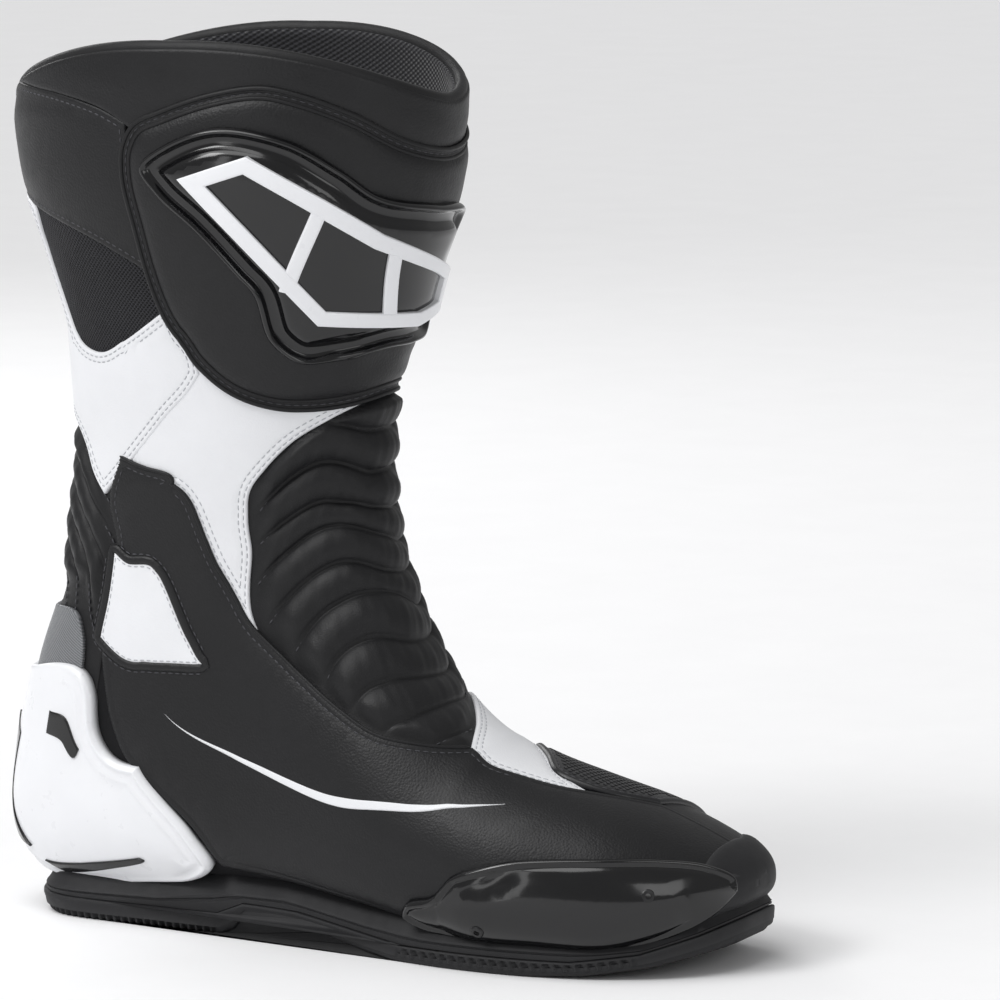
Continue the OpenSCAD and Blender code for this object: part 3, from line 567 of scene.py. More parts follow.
def stitch_run(u, s, h, kind="thread", pitch=3.1, length=2.1, radius=.30):
    """Rows of small capsules along a line on the surface; h is their height over it."""
    p, n = on(u, s, np.broadcast_to(h, np.shape(u))), normal(u, s)
    seg = np.linalg.norm(np.diff(p, axis=0), axis=1)
    cuts = np.r_[0, np.flatnonzero(seg > 4.0) + 1, len(p)]
    for a, b in zip(cuts[:-1], cuts[1:]):
        if b - a < 3:
            continue
        q, m = p[a:b], n[a:b]
        d = np.r_[0, np.cumsum(np.linalg.norm(np.diff(q, axis=0), axis=1))]
        for c in np.arange(pitch * .6, d[-1] - length * .5, pitch):
            e0, e1 = ([np.interp(c + k * length / 2, d, q[:, j]) for j in range(3)] for k in (-1, 1))
            up = np.array([np.interp(c, d, m[:, j]) for j in range(3)])
            STITCHES[kind].append((np.array(e0), np.array(e1), up, radius))


def capsule(e0, e1, up, r):
    """One stitch from e0 to e1: four rings of six points, and a point at each end."""
    t = e1 - e0
    ln = np.linalg.norm(t)
    t = t / max(ln, 1e-6)
    side = np.cross(t, up)
    side = side / max(np.linalg.norm(side), 1e-6)
    up2 = np.cross(side, t)
    mid = (e0 + e1) / 2
    turns = np.arange(6) * math.pi / 3
    vs = [mid - t * ln / 2]
    for x, w in ((-.86, .62), (-.45, .98), (.45, .98), (.86, .62)):
        vs += [mid + t * (x * ln / 2) + w * r * (math.cos(a) * side + math.sin(a) * up2) for a in turns]
    vs.append(mid + t * ln / 2)
    nxt = [1, 2, 3, 4, 5, 0]
    fs = [(0, 1 + a, 1 + nxt[a]) for a in range(6)]
    for o in (1, 7, 13):
        fs += [(o + a, o + 6 + a, o + 6 + nxt[a], o + nxt[a]) for a in range(6)]
    return np.array(vs), fs + [(19 + nxt[a], 19 + a, 25) for a in range(6)]


def stitch_meshes():
    """One mesh for the stitches of each kind on the foot, on the shaft and across the ankle."""
    for kind, items in STITCHES.items():
        groups = {"foot": [], "shaft": [], "ankle": []}
        for it in items:
            z0, z1 = min(it[0][2], it[1][2]) * MM, max(it[0][2], it[1][2]) * MM
            key = "foot" if z1 < FLEX_LOW[2] - .001 else "shaft" if z0 > FLEX_HIGH[2] + .001 else "ankle"
            groups[key].append(it)
        for key, its in groups.items():
            if not its:
                continue
            parts = [capsule(*it) for it in its]
            v, f = merged(parts)
            make(f"stitches_{kind}_{key}", v, f, kind, {"foot": "foot", "shaft": "shaft"}.get(key))


def seam(panel, i0, i1, d, kind="thread", lift=0.05, double=None, **kw):
    """Stitches on a panel along its outline, d in from the edge; double adds a second row."""
    for k in (d,) if double is None else (d, d + double):
        u, s, _ = panel.line(i0, i1, k)
        if len(u) > 3:
            h = panel.height(u, s, np.full(len(u), float(k)))
            stitch_run(u, s, h + lift, kind, **kw)


def groove(*lines, depth=.22, width=.45):
    return lambda u, s, d: sum(-depth * np.exp(-((d - k) / width)**2) for k in lines)


def groove_rings(*lines):
    return tuple(k + e for k in lines for e in (-.7, -.3, .0, .3, .7))

# ---------------------------------------------------------------- sole
PLAN = [
    (0, -57), (17, -53), (29, -43), (34, -26), (35, 0), (35, 34), (37, 64), (43, 98), (49, 128), (51, 152), (49, 178),
    (42, 203), (28, 226), (8, 240), (-12, 242.5), (-30, 240), (-43, 228), (-50, 205), (-51, 176), (-47, 148),
    (-38, 114), (-31, 84), (-29, 58), (-31, 32), (-34, 0), (-33, -26), (-28, -43), (-17, -53)]
GROUND = [
    (-58, 5), (-53, 1.5), (-47, 0), (38, 0), (44, 3), (49, 9.5), (70, 8.5), (104, 1.6), (116, 0), (172, 0), (196, 1.4),
    (218, 4.6), (236, 9.6), (244, 13)]
SOLE_TOP = [
    (-58, 8), (36, 8), (48, 13), (72, 12.6), (104, 8.4), (120, 6.4), (190, 6.4), (214, 9.6), (232, 15.6), (244, 21)]
MID_TOP = [
    (-58, 10.4), (10, 12.2), (40, 16.4), (66, 17), (104, 12.2), (130, 10.4), (200, 10.4), (216, 12), (232, 17.6),
    (244, 23)]


def plan_outline(per=26):
    p = np.array(PLAN, float)
    out = []
    for i in range(len(p)):
        p0, p1, p2, p3 = (p[(i + k) % len(p)] for k in (-1, 0, 1, 2))
        for t in np.arange(per)[:, None] / per:
            out.append(.5 * (2 * p1 + t * (p2 - p0) + t * t * (2 * p0 - 5 * p1 + 4 * p2 - p3)
                             + t**3 * (3 * p1 - p0 - 3 * p2 + p3)))
    p = np.array(out)
    d = np.r_[0, np.cumsum(np.linalg.norm(np.diff(np.vstack([p, p[:1]]), axis=0), axis=1))]
    n = int(d[-1] / .55)
    at = np.arange(n) * d[-1] / n
    closed = np.vstack([p, p[:1]])
    return np.stack([np.interp(at, d, closed[:, 0]), np.interp(at, d, closed[:, 1])], -1), at


OUTLINE, ALONG = plan_outline()
TANGENT = unit(np.roll(OUTLINE, -1, 0) - np.roll(OUTLINE, 1, 0))
INWARD = np.stack([-TANGENT[:, 1], TANGENT[:, 0]], -1)


def zone(y, y0, y1):
    return smooth((y - y0) / 3) * smooth((y1 - y) / 3)


def fill_cap(loop, grid, relief=None):
    """Triangles inside a closed plan loop, with inner points on a grid."""
    poly = loop[:, :2]
    lo, hi = poly.min(0), poly.max(0)
    gx, gy = np.meshgrid(np.arange(lo[0], hi[0], grid), np.arange(lo[1], hi[1], grid))
    pts = np.stack([gx.ravel(), gy.ravel()], -1)
    pts = pts[Panel._inside(pts, poly)]
    kd = tree(np.c_[poly, np.zeros(len(poly))])
    pts = pts[nearest(kd, np.c_[pts, np.zeros(len(pts))]) > grid * .6]
    every = np.vstack([poly, pts])
    res = geometry.delaunay_2d_cdt([Vector(p) for p in every], [], [list(range(len(poly)))], 1, 1e-5, True)
    ids = [o[0] if o else -1 for o in res[3]]
    tri = []
    for f in res[2]:
        a, b, c = (every[ids[k]] if ids[k] >= 0 else np.array(res[0][k]) for k in f)
        f = [ids[k] for k in f]
        if -1 in f:
            continue
        tri.append(tuple(f) if np.cross(b - a, c - a) > 0 else tuple(f[::-1]))
    return every, tri


def sole_body(name, levels, z_bottom, z_top, mat, slot, replaces, bottom_relief=None, grid=4.0):
    """Solid of the plan outline: levels are (inset, share of the height, offset in mm) from the bottom up."""
    y = OUTLINE[:, 1]
    zb, zt = table(y, z_bottom), table(y, z_top)
    loops = []
    for inset, share, off in levels:
        ins = inset(ALONG, y) if callable(inset) else np.full(len(y), float(inset))
        loops.append(np.c_[OUTLINE + INWARD * ins[:, None], zb + (zt - zb) * share + off])
    n = len(y)
    verts = [np.array(x) for x in loops]
    faces = []
    for k in range(len(loops) - 1):
        for i in range(n):
            j = (i + 1) % n
            faces.append((k * n + i, k * n + j, (k + 1) * n + j, (k + 1) * n + i))
    total = n * len(loops)
    for loop, base, zt_table, sign in ((loops[0], 0, z_bottom, -1), (loops[-1], n * (len(loops) - 1), z_top, 1)):
        pts, tri = fill_cap(loop, grid if sign < 0 else 8.0)
        inner = pts[n:]
        z = table(inner[:, 1], zt_table) + (levels[0][2] if sign < 0 else levels[-1][2])
        if sign < 0 and bottom_relief:
            z = z + bottom_relief(inner[:, 0], inner[:, 1])
        verts.append(np.c_[inner, z])
        for f in tri:
            f = tuple(base + i if i < n else total + i - n for i in f)
            faces.append(f if sign > 0 else f[::-1])
        total += len(inner)
    v = np.concatenate(verts)
    return make(name, v, faces, mat, "foot", slot, replaces, uv=v[:, :2], auto=38)


def comb(depth, pitch, y0, y1, lean=0.0):
    """Inset that cuts teeth along the outline between y0 and y1."""
    def f(along, y):
        wave = np.clip(np.sin(2 * math.pi * (along + lean) / pitch) * 3, -1, 1) * .5 + .5
        return depth * wave * zone(y, y0, y1)
    return f


def plus(*fs):
    return lambda along, y: sum(f(along, y) if callable(f) else f for f in fs)


def tuck(amount):
    """The heel block stands in from the counter's lower edge."""
    return lambda along, y: amount * (1.0 + .8 * smooth((30 - y) / 30) + 2.6 * smooth((-28 - y) / 26))


heel_teeth = comb(1.5, 3.3, -60, 37)
toe_teeth = [comb(.9, 4.2, 118, 214, lean=k) for k in (0, .7, 1.4)]


def tread(x, y):
    """Lugs moulded into the ground face."""
    heel = smooth((34 - y) / 3) * smooth((y + 46) / 3)
    fore = smooth((y - 112) / 4) * smooth((222 - y) / 6)
    cut = np.zeros_like(x)
    for per, k, m in ((11.0, .55, heel), (12.0, -.55, fore)):
        w = (y + k * np.abs(x)) % per
        cut += m * smooth((w - 1.0) / .8) * smooth((4.2 - w) / .8)
    middle = smooth((np.abs(x) - 2.0) / 1.0)
    arch = smooth((y - 46) / 5) * smooth((106 - y) / 5) * smooth((13 - np.abs(x)) / 3) * .9
    inner = smooth((26 - np.abs(x + (y > 100) * 1.0)) / 3 + 2)
    return 2.0 * cut * middle * inner + arch


sole_body(
    "outsole_moulded", [(plus(1.6, heel_teeth, tuck(1.6)), 0, 0), (plus(.7, heel_teeth, tuck(1.6)), 0, .3),
    (plus(.15, heel_teeth, tuck(1.5)), 0, 1.1), (plus(0, heel_teeth, tuck(1.4)), 0, 2.6), (tuck(1.35), 0, 3.4),
    (plus(toe_teeth[0], tuck(1.2)), .35, 0), (plus(toe_teeth[1], tuck(1.1)), .6, 0),
    (plus(toe_teeth[2], tuck(1.0)), .85, -.6), (tuck(1), 1, -.7), (plus(.25, tuck(1)), 1, -.2),
    (plus(1.0, tuck(1)), 1, 0.0)], GROUND, SOLE_TOP, "rubber", "outsole_rubber", ["outsole", "shank"], tread, grid=1.7)
sole_body("midsole_welt",
          [(plus(a, tuck(1)), b, c) for a, b, c in
           ((2.0, 0, -.2), (1.7, 0, .15), (1.15, 0, .25), (1.05, .45, 0), (1.05, .55, 0), (1.5, .6, 0),
            (1.5, .72, 0), (1.0, .78, 0), (1.1, 1, -.3), (1.6, 1, 0.2), (2.4, 1, 1.3), (3.4, 1, 3.0),
            (5.0, 1, 5.2), (7.0, 1, 6.6), (8.5, 1, 6.2), (10.5, 1, 1.0))],
          SOLE_TOP, MID_TOP, "rubber", "midsole", ["midsole"])

# ---------------------------------------------------------------- the stitched upper under the panels
U = np.linspace(-180, 177, 120)
foot_rows = 50 * (1 - np.cos(np.radians(np.linspace(4, 90, 12))))
t_rows = np.concatenate([foot_rows / 345, np.linspace(54, 345, 98) / 345])
S = t_rows[:, None] * (collar_edge(U)[None, :] - 1.0)
UU = np.broadcast_to(U, S.shape)
weave_uv = np.tile(np.stack([UU * .9, S], -1).reshape(-1, 2), (2, 1))
v, f = grid_solid(UU, S, -2.0, -.05, ring=True, cap=True)
make(
    "upper_backing", v, f, "backing", replaces=["foot_shell", "ankle_gusset", "shaft_shell", "toe_puff",
    "heel_stiffener", "ankle_guards", "zip_gusset"], uv=weave_uv)
v, f = grid_solid(UU, S, -4.9, -2.1, ring=True, cap=True)
lining = make(
    "lining_knit", v, f, "lining", replaces=["foot_lining", "shaft_lining", "shin_foam", "collar_foam", "footbed"],
    uv=weave_uv)

# ---------------------------------------------------------------- leg panels
SEAM_TOP = [(99, 308), (108, 313.5), (122, 317.5), (136, 319), (150, 320.3)]


def rim(u0, u1, drop, n=12):
    return [(float(u), float(collar_edge(u) - drop)) for u in np.linspace(u0, u1, n)]


def corner(p):
    return (p[0], p[1], 1)


def edge_swell(u, s, d, rise):
    """A soft swell round the boot, 11 mm under the collar's edge."""
    return rise * smooth((d - 2) / 9) * np.exp(-((collar_edge(u) - s - 11) / 11)**2)


top = rim(-138, 150, 1.0, 26)
collar = Panel(
    "collar_leather", [corner(top[0]), *top[1:-1], corner(top[-1]), *SEAM_TOP[-2:0:-1], (97, 305, 1), (79, 314),
    (67, 318), (57, 315), (42, 308), (23, 297), (4, 293), (-16, 295), (-40, 300), (-56, 301), (-58, 298.5), (-80, 299),
    (-110, 298), (-138, 297, 1)], "leather", t=1.5, base=.1, round_=1.5, grid=4.0, replaces=["collar"],
    relief=lambda u, s, d: edge_swell(u, s, d, .6))
top = rim(150.6, 222, 1.0, 10)
calf = Panel(
    "calf_leather", [(100.5, 309, 1), *[(u + .6, s + .4) for u, s in SEAM_TOP[1:-1]], corner(top[0]), *top[1:-1],
    corner(top[-1]), (222, 300), (227, 292), (227, 275.5, 1), (205, 276.5), (180, 276), (165, 275.5), (147, 273.5),
    (117, 264.5), (94, 251, 1), (96, 270), (99, 292)], "leather", t=1.5, base=.0, round_=1.4, grid=4.0,
    replaces=["calf_panel"], relief=lambda u, s, d: edge_swell(u, s, d, .9) - .25 * np.exp(-((d - 2.6) / .5)**2))
Panel(
    "mesh_airflow", [(94, 252, 1), (117, 265.5), (147, 274.5, 1), (157, 262), (156, 241), (144, 222), (133, 219.5),
    (121, 218.5), (109, 222.5), (92, 236, 1)], "mesh", t=.7, base=.1, round_=.8, grid=3.0, replaces=["mesh_panel"])
rear = Panel(
    "rear_leather", [(92, 240, 1), (109, 226.5), (121, 222.5), (133, 223.2), (142, 226), (150, 238), (153, 250),
    (152, 261), (147, 272), (150, 275.5, 1), (165, 277), (180, 277.5), (205, 277.5), (227, 276, 1), (227, 240),
    (227, 206, 1), (215, 208), (200, 210), (180, 212), (160, 210.5), (144, 207), (132, 200), (121, 195, 1),
    (113, 197.5), (107.5, 200), (94.5, 207.5), (87.5, 212.5), (83, 217.5, 1), (85, 224), (90, 231)], "white", t=1.35,
    base=.8, round_=1.1, grid=3.6, replaces=["rear_panel"], relief=groove(1.7, 3.7, depth=.18, width=.4),
    rings=groove_rings(1.7, 3.7))
wedge = Panel(
    "side_wedge_leather", [(84, 221, 1), (95.5, 211), (111.5, 203, 1), (104, 195.5), (89, 190.5), (79, 181.5),
    (69, 170.5), (63.3, 162), (62, 154, 1), (58.6, 167), (61.4, 176), (62.4, 182), (58.5, 185), (49.5, 189.2),
    (38.5, 191.5), (16, 194.6, 1), (34, 203), (52, 210), (68, 218)], "white", t=1.35, base=.35, round_=1.1, grid=2.6,
    replaces=["side_wedge"], relief=groove(1.6, 3.6, depth=.18, width=.4), rings=groove_rings(1.6, 3.6))
quarter = Panel(
    "lateral_quarter_leather", [(114.5, 201.2, 1), (101, 197.2), (89, 190.8), (79, 181.8), (69, 170.8), (63, 162),
    (62, 153), (61.6, 140), (59, 127), (52, 117), (37, 108), (22, 101.5, 1), (24, 94), (20.4, 83), (16.4, 69),
    (11, 59), (6, 50), (-2.6, 38, 1), (-2.6, 20), (-2.6, 5, 1), (20, 4.5), (45, 4.5), (75, 5), (100, 6), (120, 9),
    (136, 22), (137, 50), (137, 80), (137, 110), (135, 128), (130, 137, 1), (112, 141.5), (100, 149), (95.5, 158),
    (97, 164), (103, 172), (110, 185), (117.5, 194)], "leather", t=1.35, base=1.0, round_=1.3, grid=3.6, step=1.0,
    replaces=["lateral_quarter"], relief=groove(3.1, depth=.22), rings=groove_rings(3.1))
med_quarter = Panel(
    "medial_quarter_leather", [(-132, 125, 1), (-132, 134, 1), (-112, 142), (-98, 151), (-95, 160), (-98, 168),
    (-103, 177), (-105, 200), (-104, 228, 1), (-88, 229.5), (-74, 227), (-64.5, 218), (-57.5, 200), (-53, 178),
    (-53, 160), (-57, 146), (-65, 131), (-77, 122.5, 1), (-100, 124)], "leather", t=1.35, base=.9, round_=1.3,
    grid=3.2, replaces=["medial_quarter"], relief=groove(2.2, depth=.22), rings=groove_rings(2.2))
med_strip = Panel(
    "medial_strip_leather", [(-78, 120.5, 1), (-63, 129), (-55, 145), (-51, 162), (-51, 180), (-55.5, 200),
    (-59, 210, 1), (-50, 208), (-41.5, 201, 1), (-41, 180), (-42, 160), (-47, 137), (-58, 117, 1)], "soft", t=1.0,
    base=.2, round_=1.0, grid=3.0, replaces=["medial_strip"], relief=groove(1.5, 3.4, depth=.15, width=.4),
    rings=groove_rings(1.5, 3.4))
Panel(
    "medial_panel_leather", [(-104, 226, 1), (-87, 227), (-74, 224.5), (-65, 216), (-58.5, 203, 1), (-56.5, 230),
    (-57, 262), (-57, 302, 1), (-80, 302), (-104, 301, 1), (-104, 262)], "leather", t=1.2, base=.1, round_=1.2,
    grid=4.0, replaces=["medial_panel"], relief=lambda u, s, d: .7 * smooth((d - 3) / 14))

# ---------------------------------------------------------------- padded shin panel, plate and emblem
SHIN = [
    (4, 300), (23, 304), (42, 314.5), (57, 321.5), (67, 324), (79, 321), (91, 314), (97.5, 309), (100.5, 301),
    (101, 291), (99, 272), (97, 254), (93, 235), (87, 224), (80, 217), (69, 209), (51, 201), (25, 196), (4, 196.5),
    (-16, 198), (-33, 199.5), (-46, 204), (-53, 214), (-55.5, 232), (-56, 262), (-56, 292), (-53, 305), (-44, 309),
    (-30, 306.5), (-14, 302)]


def shin_relief(u, s, d):
    """A flat sewn border, then the pad swells; an inner line is pressed in on the inner side."""
    pad = 2.3 * (1 - np.exp(-np.clip(d - 4.2, 0, None) / 2.4)) + .8 * smooth((d - 6) / 20)
    soft = .35 * np.sin(u * .21 + s * .05) * np.sin(s * .11 - u * .04) * smooth((d - 8) / 10)
    line = -.8 * np.exp(-((u + 42 + (s - 250) * .03) / 1.6)**2) * smooth((s - 222) / 8) * smooth((290 - s) / 8)
    channel = -.45 * np.exp(-((d - 2.1) / .55)**2)
    return pad + soft + line + channel


shin = Panel(
    "shin_pad", SHIN, "leather", t=1.6, base=1.2, round_=1.0, grid=2.6, replaces=["shin_panel"], relief=shin_relief,
    rings=(1.4, 1.8, 2.1, 2.4, 2.9, 3.6, 4.4, 5.2, 6.4, 8.0, 10.0))
pipes = []
for d, r in ((.35, .95), (3.9, .85)):
    u, s, _ = shin.line(None, None, d)
    pipes.append(tube(on(u, s, shin.height(u, s, np.full(len(u), max(d, .6))) - .1), normal(u, s), r, closed=True))
v, f = merged(pipes)
make("shin_piping", v, f, "soft")
seam(shin, None, None, 2.1, lift=-.05, pitch=3.3, length=2.3)

PLATE = [
    (94, 294), (88, 303), (76, 309.5), (59, 305.5), (44, 295), (31, 285.5), (8, 281.5), (-17, 278), (-22, 268),
    (-22, 240), (-17, 229.5), (0, 227), (15, 226.5), (34, 223), (48, 222), (59, 231), (64, 248), (69, 255), (81, 272),
    (90, 284)]


def plate_relief(u, s, d):
    rim_ = .9 * np.exp(-((d - 1.3) / .9)**2)
    dish = -1.9 * smooth((d - 2.0) / 1.6) + 3.4 * smooth((d - 6.0) / 4.0) + .9 * smooth((d - 9) / 10)
    return rim_ + dish


Panel(
    "shin_plate_moulded", PLATE, "gloss", t=2.4, base=5.9, floor=2.4, round_=1.0, grid=2.2, replaces=["shin_plate"],
    relief=plate_relief, rings=(1.3, 2.2, 2.8, 3.4, 4.0, 5.0, 6.0, 7.0, 8.0, 9.5))
EMBLEM = [(-15, 239, 1), (4, 235, 1), (44, 238, 1), (84, 291, 1), (68, 300, 1), (28, 273, 1), (-15, 256, 1)]

PLATE_TOP = 5.9 + 2.4 - 1.9 + 3.4 + .9  # base, thickness and the relief inside the rim
outer_em = Panel("tmp_outer", EMBLEM, "tpu_white", build=False, step=1.2)


def band_profile(width, h0, h1):
    """(distance in, height) round the section of a raised band with softened edges."""
    return ((0, h0), (0, h1 - .35), (.3, h1 - .05), (.8, h1), (width - .8, h1), (width - .3, h1 - .05),
            (width, h1 - .35), (width, h0))


def bar_band(u, s, width, h0, h1):
    rows = []
    for d, h in band_profile(width, h0, h1):
        uu, ss = slide(u, s, d, 1.0, False)
        rows.append(on(uu, ss, np.full(len(uu), float(h))))
    return np.concatenate(rows), [t[::-1] for t in lattice(len(u), len(rows), False)]


def hex_band(width, h0, h1):
    """Mitred corners: each edge of the hexagon is moved in and cut with its neighbours."""
    p = outer_em.to(*np.array([c[:2] for c in EMBLEM], float).T)
    along = unit(np.roll(p, -1, 0) - p)
    inward = np.stack([-along[:, 1], along[:, 0]], -1) * -outer_em.side
    last = np.roll(inward, 1, 0)
    mitre = (inward + last) / (1 + (inward * last).sum(-1, keepdims=True))
    k = np.linspace(0, 1, 26, endpoint=False)[None, :, None]
    rows = []
    for d, h in band_profile(width, h0, h1):
        c = p + mitre * d
        uu, ss = outer_em.back((c[:, None] * (1 - k) + np.roll(c, -1, 0)[:, None] * k).reshape(-1, 2))
        rows.append(on(uu, ss, np.full(len(uu), float(h))))
    faces = lattice(len(rows[0]), len(rows), True)
    return np.concatenate(rows), [t[::-1] for t in faces] if outer_em.side > 0 else faces


# the raised frame: a band of even width along a long slanted hexagon, and two bars across it
parts = [hex_band(5.6, PLATE_TOP - 3.2, PLATE_TOP + 1.5)]
for (ua, sa), (ub, sb) in (((16, 240), (20, 268)), ((52, 250), (46, 283))):
    k = np.linspace(0, 1, 14)
    parts.append(bar_band(ua + (ub - ua) * k, sa + (sb - sa) * k, 4.8, PLATE_TOP - 3.2, PLATE_TOP + 1.3))
v, f = merged(parts)
make("shin_emblem_frame", v, f, "tpu_white", "shaft", "white_plastic", ["shin_emblem"], auto=40)

# ---------------------------------------------------------------- foot panels
saddle = Panel(
    "vamp_saddle_leather", [(23.5, 101.5, 1), (25.5, 94), (21.8, 83), (17.8, 69), (13, 56, 1), (5, 72), (-8, 83),
    (-25, 93), (-45, 98), (-65, 100), (-88, 97.5), (-133, 95.5, 1), (-133, 125, 1), (-100, 124), (-85, 123),
    (-68, 122.3), (-48, 118.3), (-27, 113), (-2, 106)], "white", t=1.3, base=.4, round_=1.1, grid=3.0,
    replaces=["vamp_saddle"], relief=groove(1.8, 3.8, depth=.18, width=.4), rings=groove_rings(1.8, 3.8))
Panel(
    "toe_cap_leather", [(-2.9, 5, 1), (-2.9, 38.5, 1), (-15, 40), (-60, 38), (-100, 40), (-135, 42, 1), (-136, 20),
    (-125, 8), (-95, 5.5), (-45, 4.5)], "leather", t=1.2, base=.4, round_=1.2, grid=3.2, replaces=["toe_cap"])


def pad_relief(u, s, d):
    return .55 * np.exp(-((d - 1.4) / 1.0)**2) - .3 * np.exp(-((d - 3.4) / .5)**2)


PAD = [(-25, 95.5, 1), (-8, 85.5), (6.4, 75), (9, 64), (6, 50), (-2.4, 39, 1), (-15, 37.5), (-35, 36), (-60, 35),
       (-100, 37.5), (-134, 40, 1), (-134, 70), (-134, 98, 1), (-110, 99.5), (-88, 101), (-65, 103), (-45, 101.2)]
pad = Panel(
    "shift_pad_moulded", PAD, "pad", t=1.5, base=1.2, round_=1.4, grid=2.6, replaces=["shift_pad"], relief=pad_relief,
    rings=(1.4, 2.2, 2.8, 3.1, 3.4, 3.7, 4.2))


def hex_studs():
    parts = []
    a0, b0 = pad.to(np.array([-110.0]), np.array([40.0]))[0], pad.to(np.array([8.0]), np.array([98.0]))[0]
    pitch = 2.7
    rows = int((b0[1] - a0[1]) / (pitch * .866))
    for r in range(rows):
        for c in range(int((b0[0] - a0[0]) / pitch)):
            q = np.array([[a0[0] + (c + .5 * (r % 2)) * pitch, a0[1] + r * pitch * .866]])
            u, s = pad.back(q)
            d = nearest(pad.kd, skin(u, s))[0]
            if d < 5.2 or not Panel._inside(q, pad.to(pad.u, pad.s))[0]:
                continue
            fade = min(1.0, .62 + .38 * smooth((u[0] + 100) / 30) * smooth((12 - u[0]) / 28))
            rad = pitch * .44 * fade
            n = normal(u, s)[0]
            h = pad.height(u, s, np.array([d]))
            c0 = on(u, s, h)[0]
            pu = unit(tangents(u, s)[0])[0]
            ps = np.cross(pu, n)
            ring = lambda rr, hh: [c0 + n * hh + rr * (math.cos(k * math.pi / 3) * pu + math.sin(k * math.pi / 3) * ps)
                                   for k in range(6)]
            vs = ring(rad, -.5) + ring(rad, .12) + ring(rad * .78, .3)
            fs = []
            for k in range(6):
                j = (k + 1) % 6
                fs += [(k, k + 6, j + 6, j), (k + 6, k + 12, j + 12, j + 6)]
            fs += [tuple(range(17, 11, -1)), tuple(range(6))]
            fs = [t[::-1] for t in fs]
            parts.append((np.array(vs), fs))
    return merged(parts)


v, f = hex_studs()
make("shift_pad_studs", v, f, "pad", "foot", "pad_rubber", flat=True)


def ribbon(centre, widths):
    """Outline of a tapering strip along centre points, for a Panel."""
    us, ss = np.array([p[0] for p in centre], float), np.array([p[1] for p in centre], float)
    to, back = chart(us, ss)
    u, s, _ = spline(centre, False, 3.0, to, back)
    w = np.interp(np.linspace(0, 1, len(u)), np.linspace(0, 1, len(widths)), widths)
    lu, ls = slide(u, s, w / 2, 1.0, False)
    ru, rs = slide(u, s, w / 2, -1.0, False)
    return ([(u[0], s[0], 1)] + list(zip(lu[1:-1], ls[1:-1])) + [(u[-1], s[-1], 1)]
            + list(zip(ru[-2:0:-1], rs[-2:0:-1])))


Panel("side_stripe_inlay", ribbon([(88, 157), (89, 140), (86, 123), (71, 109), (44, 81)], [0, 2.2, 3.6, 2.6, 0]),
      "white", t=.5, base=2.3, floor=1.6, round_=.4, grid=2.0, replaces=["side_stripe"])
WINDOW = [
    (110, 184.5, 1), (101, 181.5), (91, 178.6), (84, 172.8), (77, 163), (75.4, 157.6, 1), (82, 162), (93, 168),
    (104, 173.6, 1), (104.5, 178)]
window = Panel(
    "ankle_window_leather", WINDOW, "white", t=.8, base=2.0, floor=1.2, round_=.8, grid=2.2, replaces=["ankle_inset"])
frame_u, frame_s = slide(window.u, window.s, 1.35, -window.side)
v, f = tube(
    on(frame_u, frame_s, np.full(len(frame_u), 2.2)), normal(frame_u, frame_s), 1.75, closed=True, sides=12,
    squash=.62)
make("ankle_frame_piping", v, f, "leather")
u, s = slide(window.u, window.s, 3.6, -window.side)
stitch_run(u, s, 2.42, pitch=3.0)
u, s, _ = window.line(None, None, 1.0)
stitch_run(u, s, 2.82, "thread_white", pitch=2.8, length=1.9, radius=.24)

# ---------------------------------------------------------------- bellows
BELLOWS_U = [-46, -28, -12, 12, 35, 48, 64]
BELLOWS = [
    [203, 205, 203, 202, 205, 207, 208], [186, 190, 181, 181, 191, 194, 193], [172, 177, 167, 166, 178, 179, 173],
    [160, 165, 154, 155, 167, 169, 168], [150, 155, 145, 148, 160, 162, 161], [141, 146, 138, 139, 150, 153, 153],
    [133, 138, 130, 134, 141, 144, 144], [127, 131, 124, 124, 131, 134, 134], [120, 124, 117, 117, 122, 125, 126],
    [115, 118, 111.5, 111, 114, 117, 118], [110, 112.5, 106.5, 105, 108, 111, 112], [104, 107, 100, 98, 102, 105, 106]]
SEAM_TABLE = np.array([hermite(np.linspace(-46, 64, 89), BELLOWS_U, row) for row in BELLOWS[::-1]])
BU = np.linspace(-46, 64, 89)
PER = 14  # rows in each rib
# where the pieces round the bellows lie on them: (s, u) of the quarter, (u, s) of the shin pad and saddle
QUARTER_FRONT = [
    (97, 14), (101.5, 21), (108, 36.5), (117, 51.5), (127, 58.5), (140, 61), (154, 61.5), (167, 58.6), (176, 61),
    (182, 62), (185, 58.5), (189.2, 49.5), (191.5, 38.5), (194.6, 15), (197, 12), (210, 8)]
SHIN_LOW = [(-50, 206), (-33, 199.5), (-16, 198), (4, 196.5), (25, 196), (51, 201), (69, 209)]
SADDLE_TOP = [(-60, 120), (-48, 118.3), (-27, 113), (-2, 106), (22, 100.5), (64, 99)]


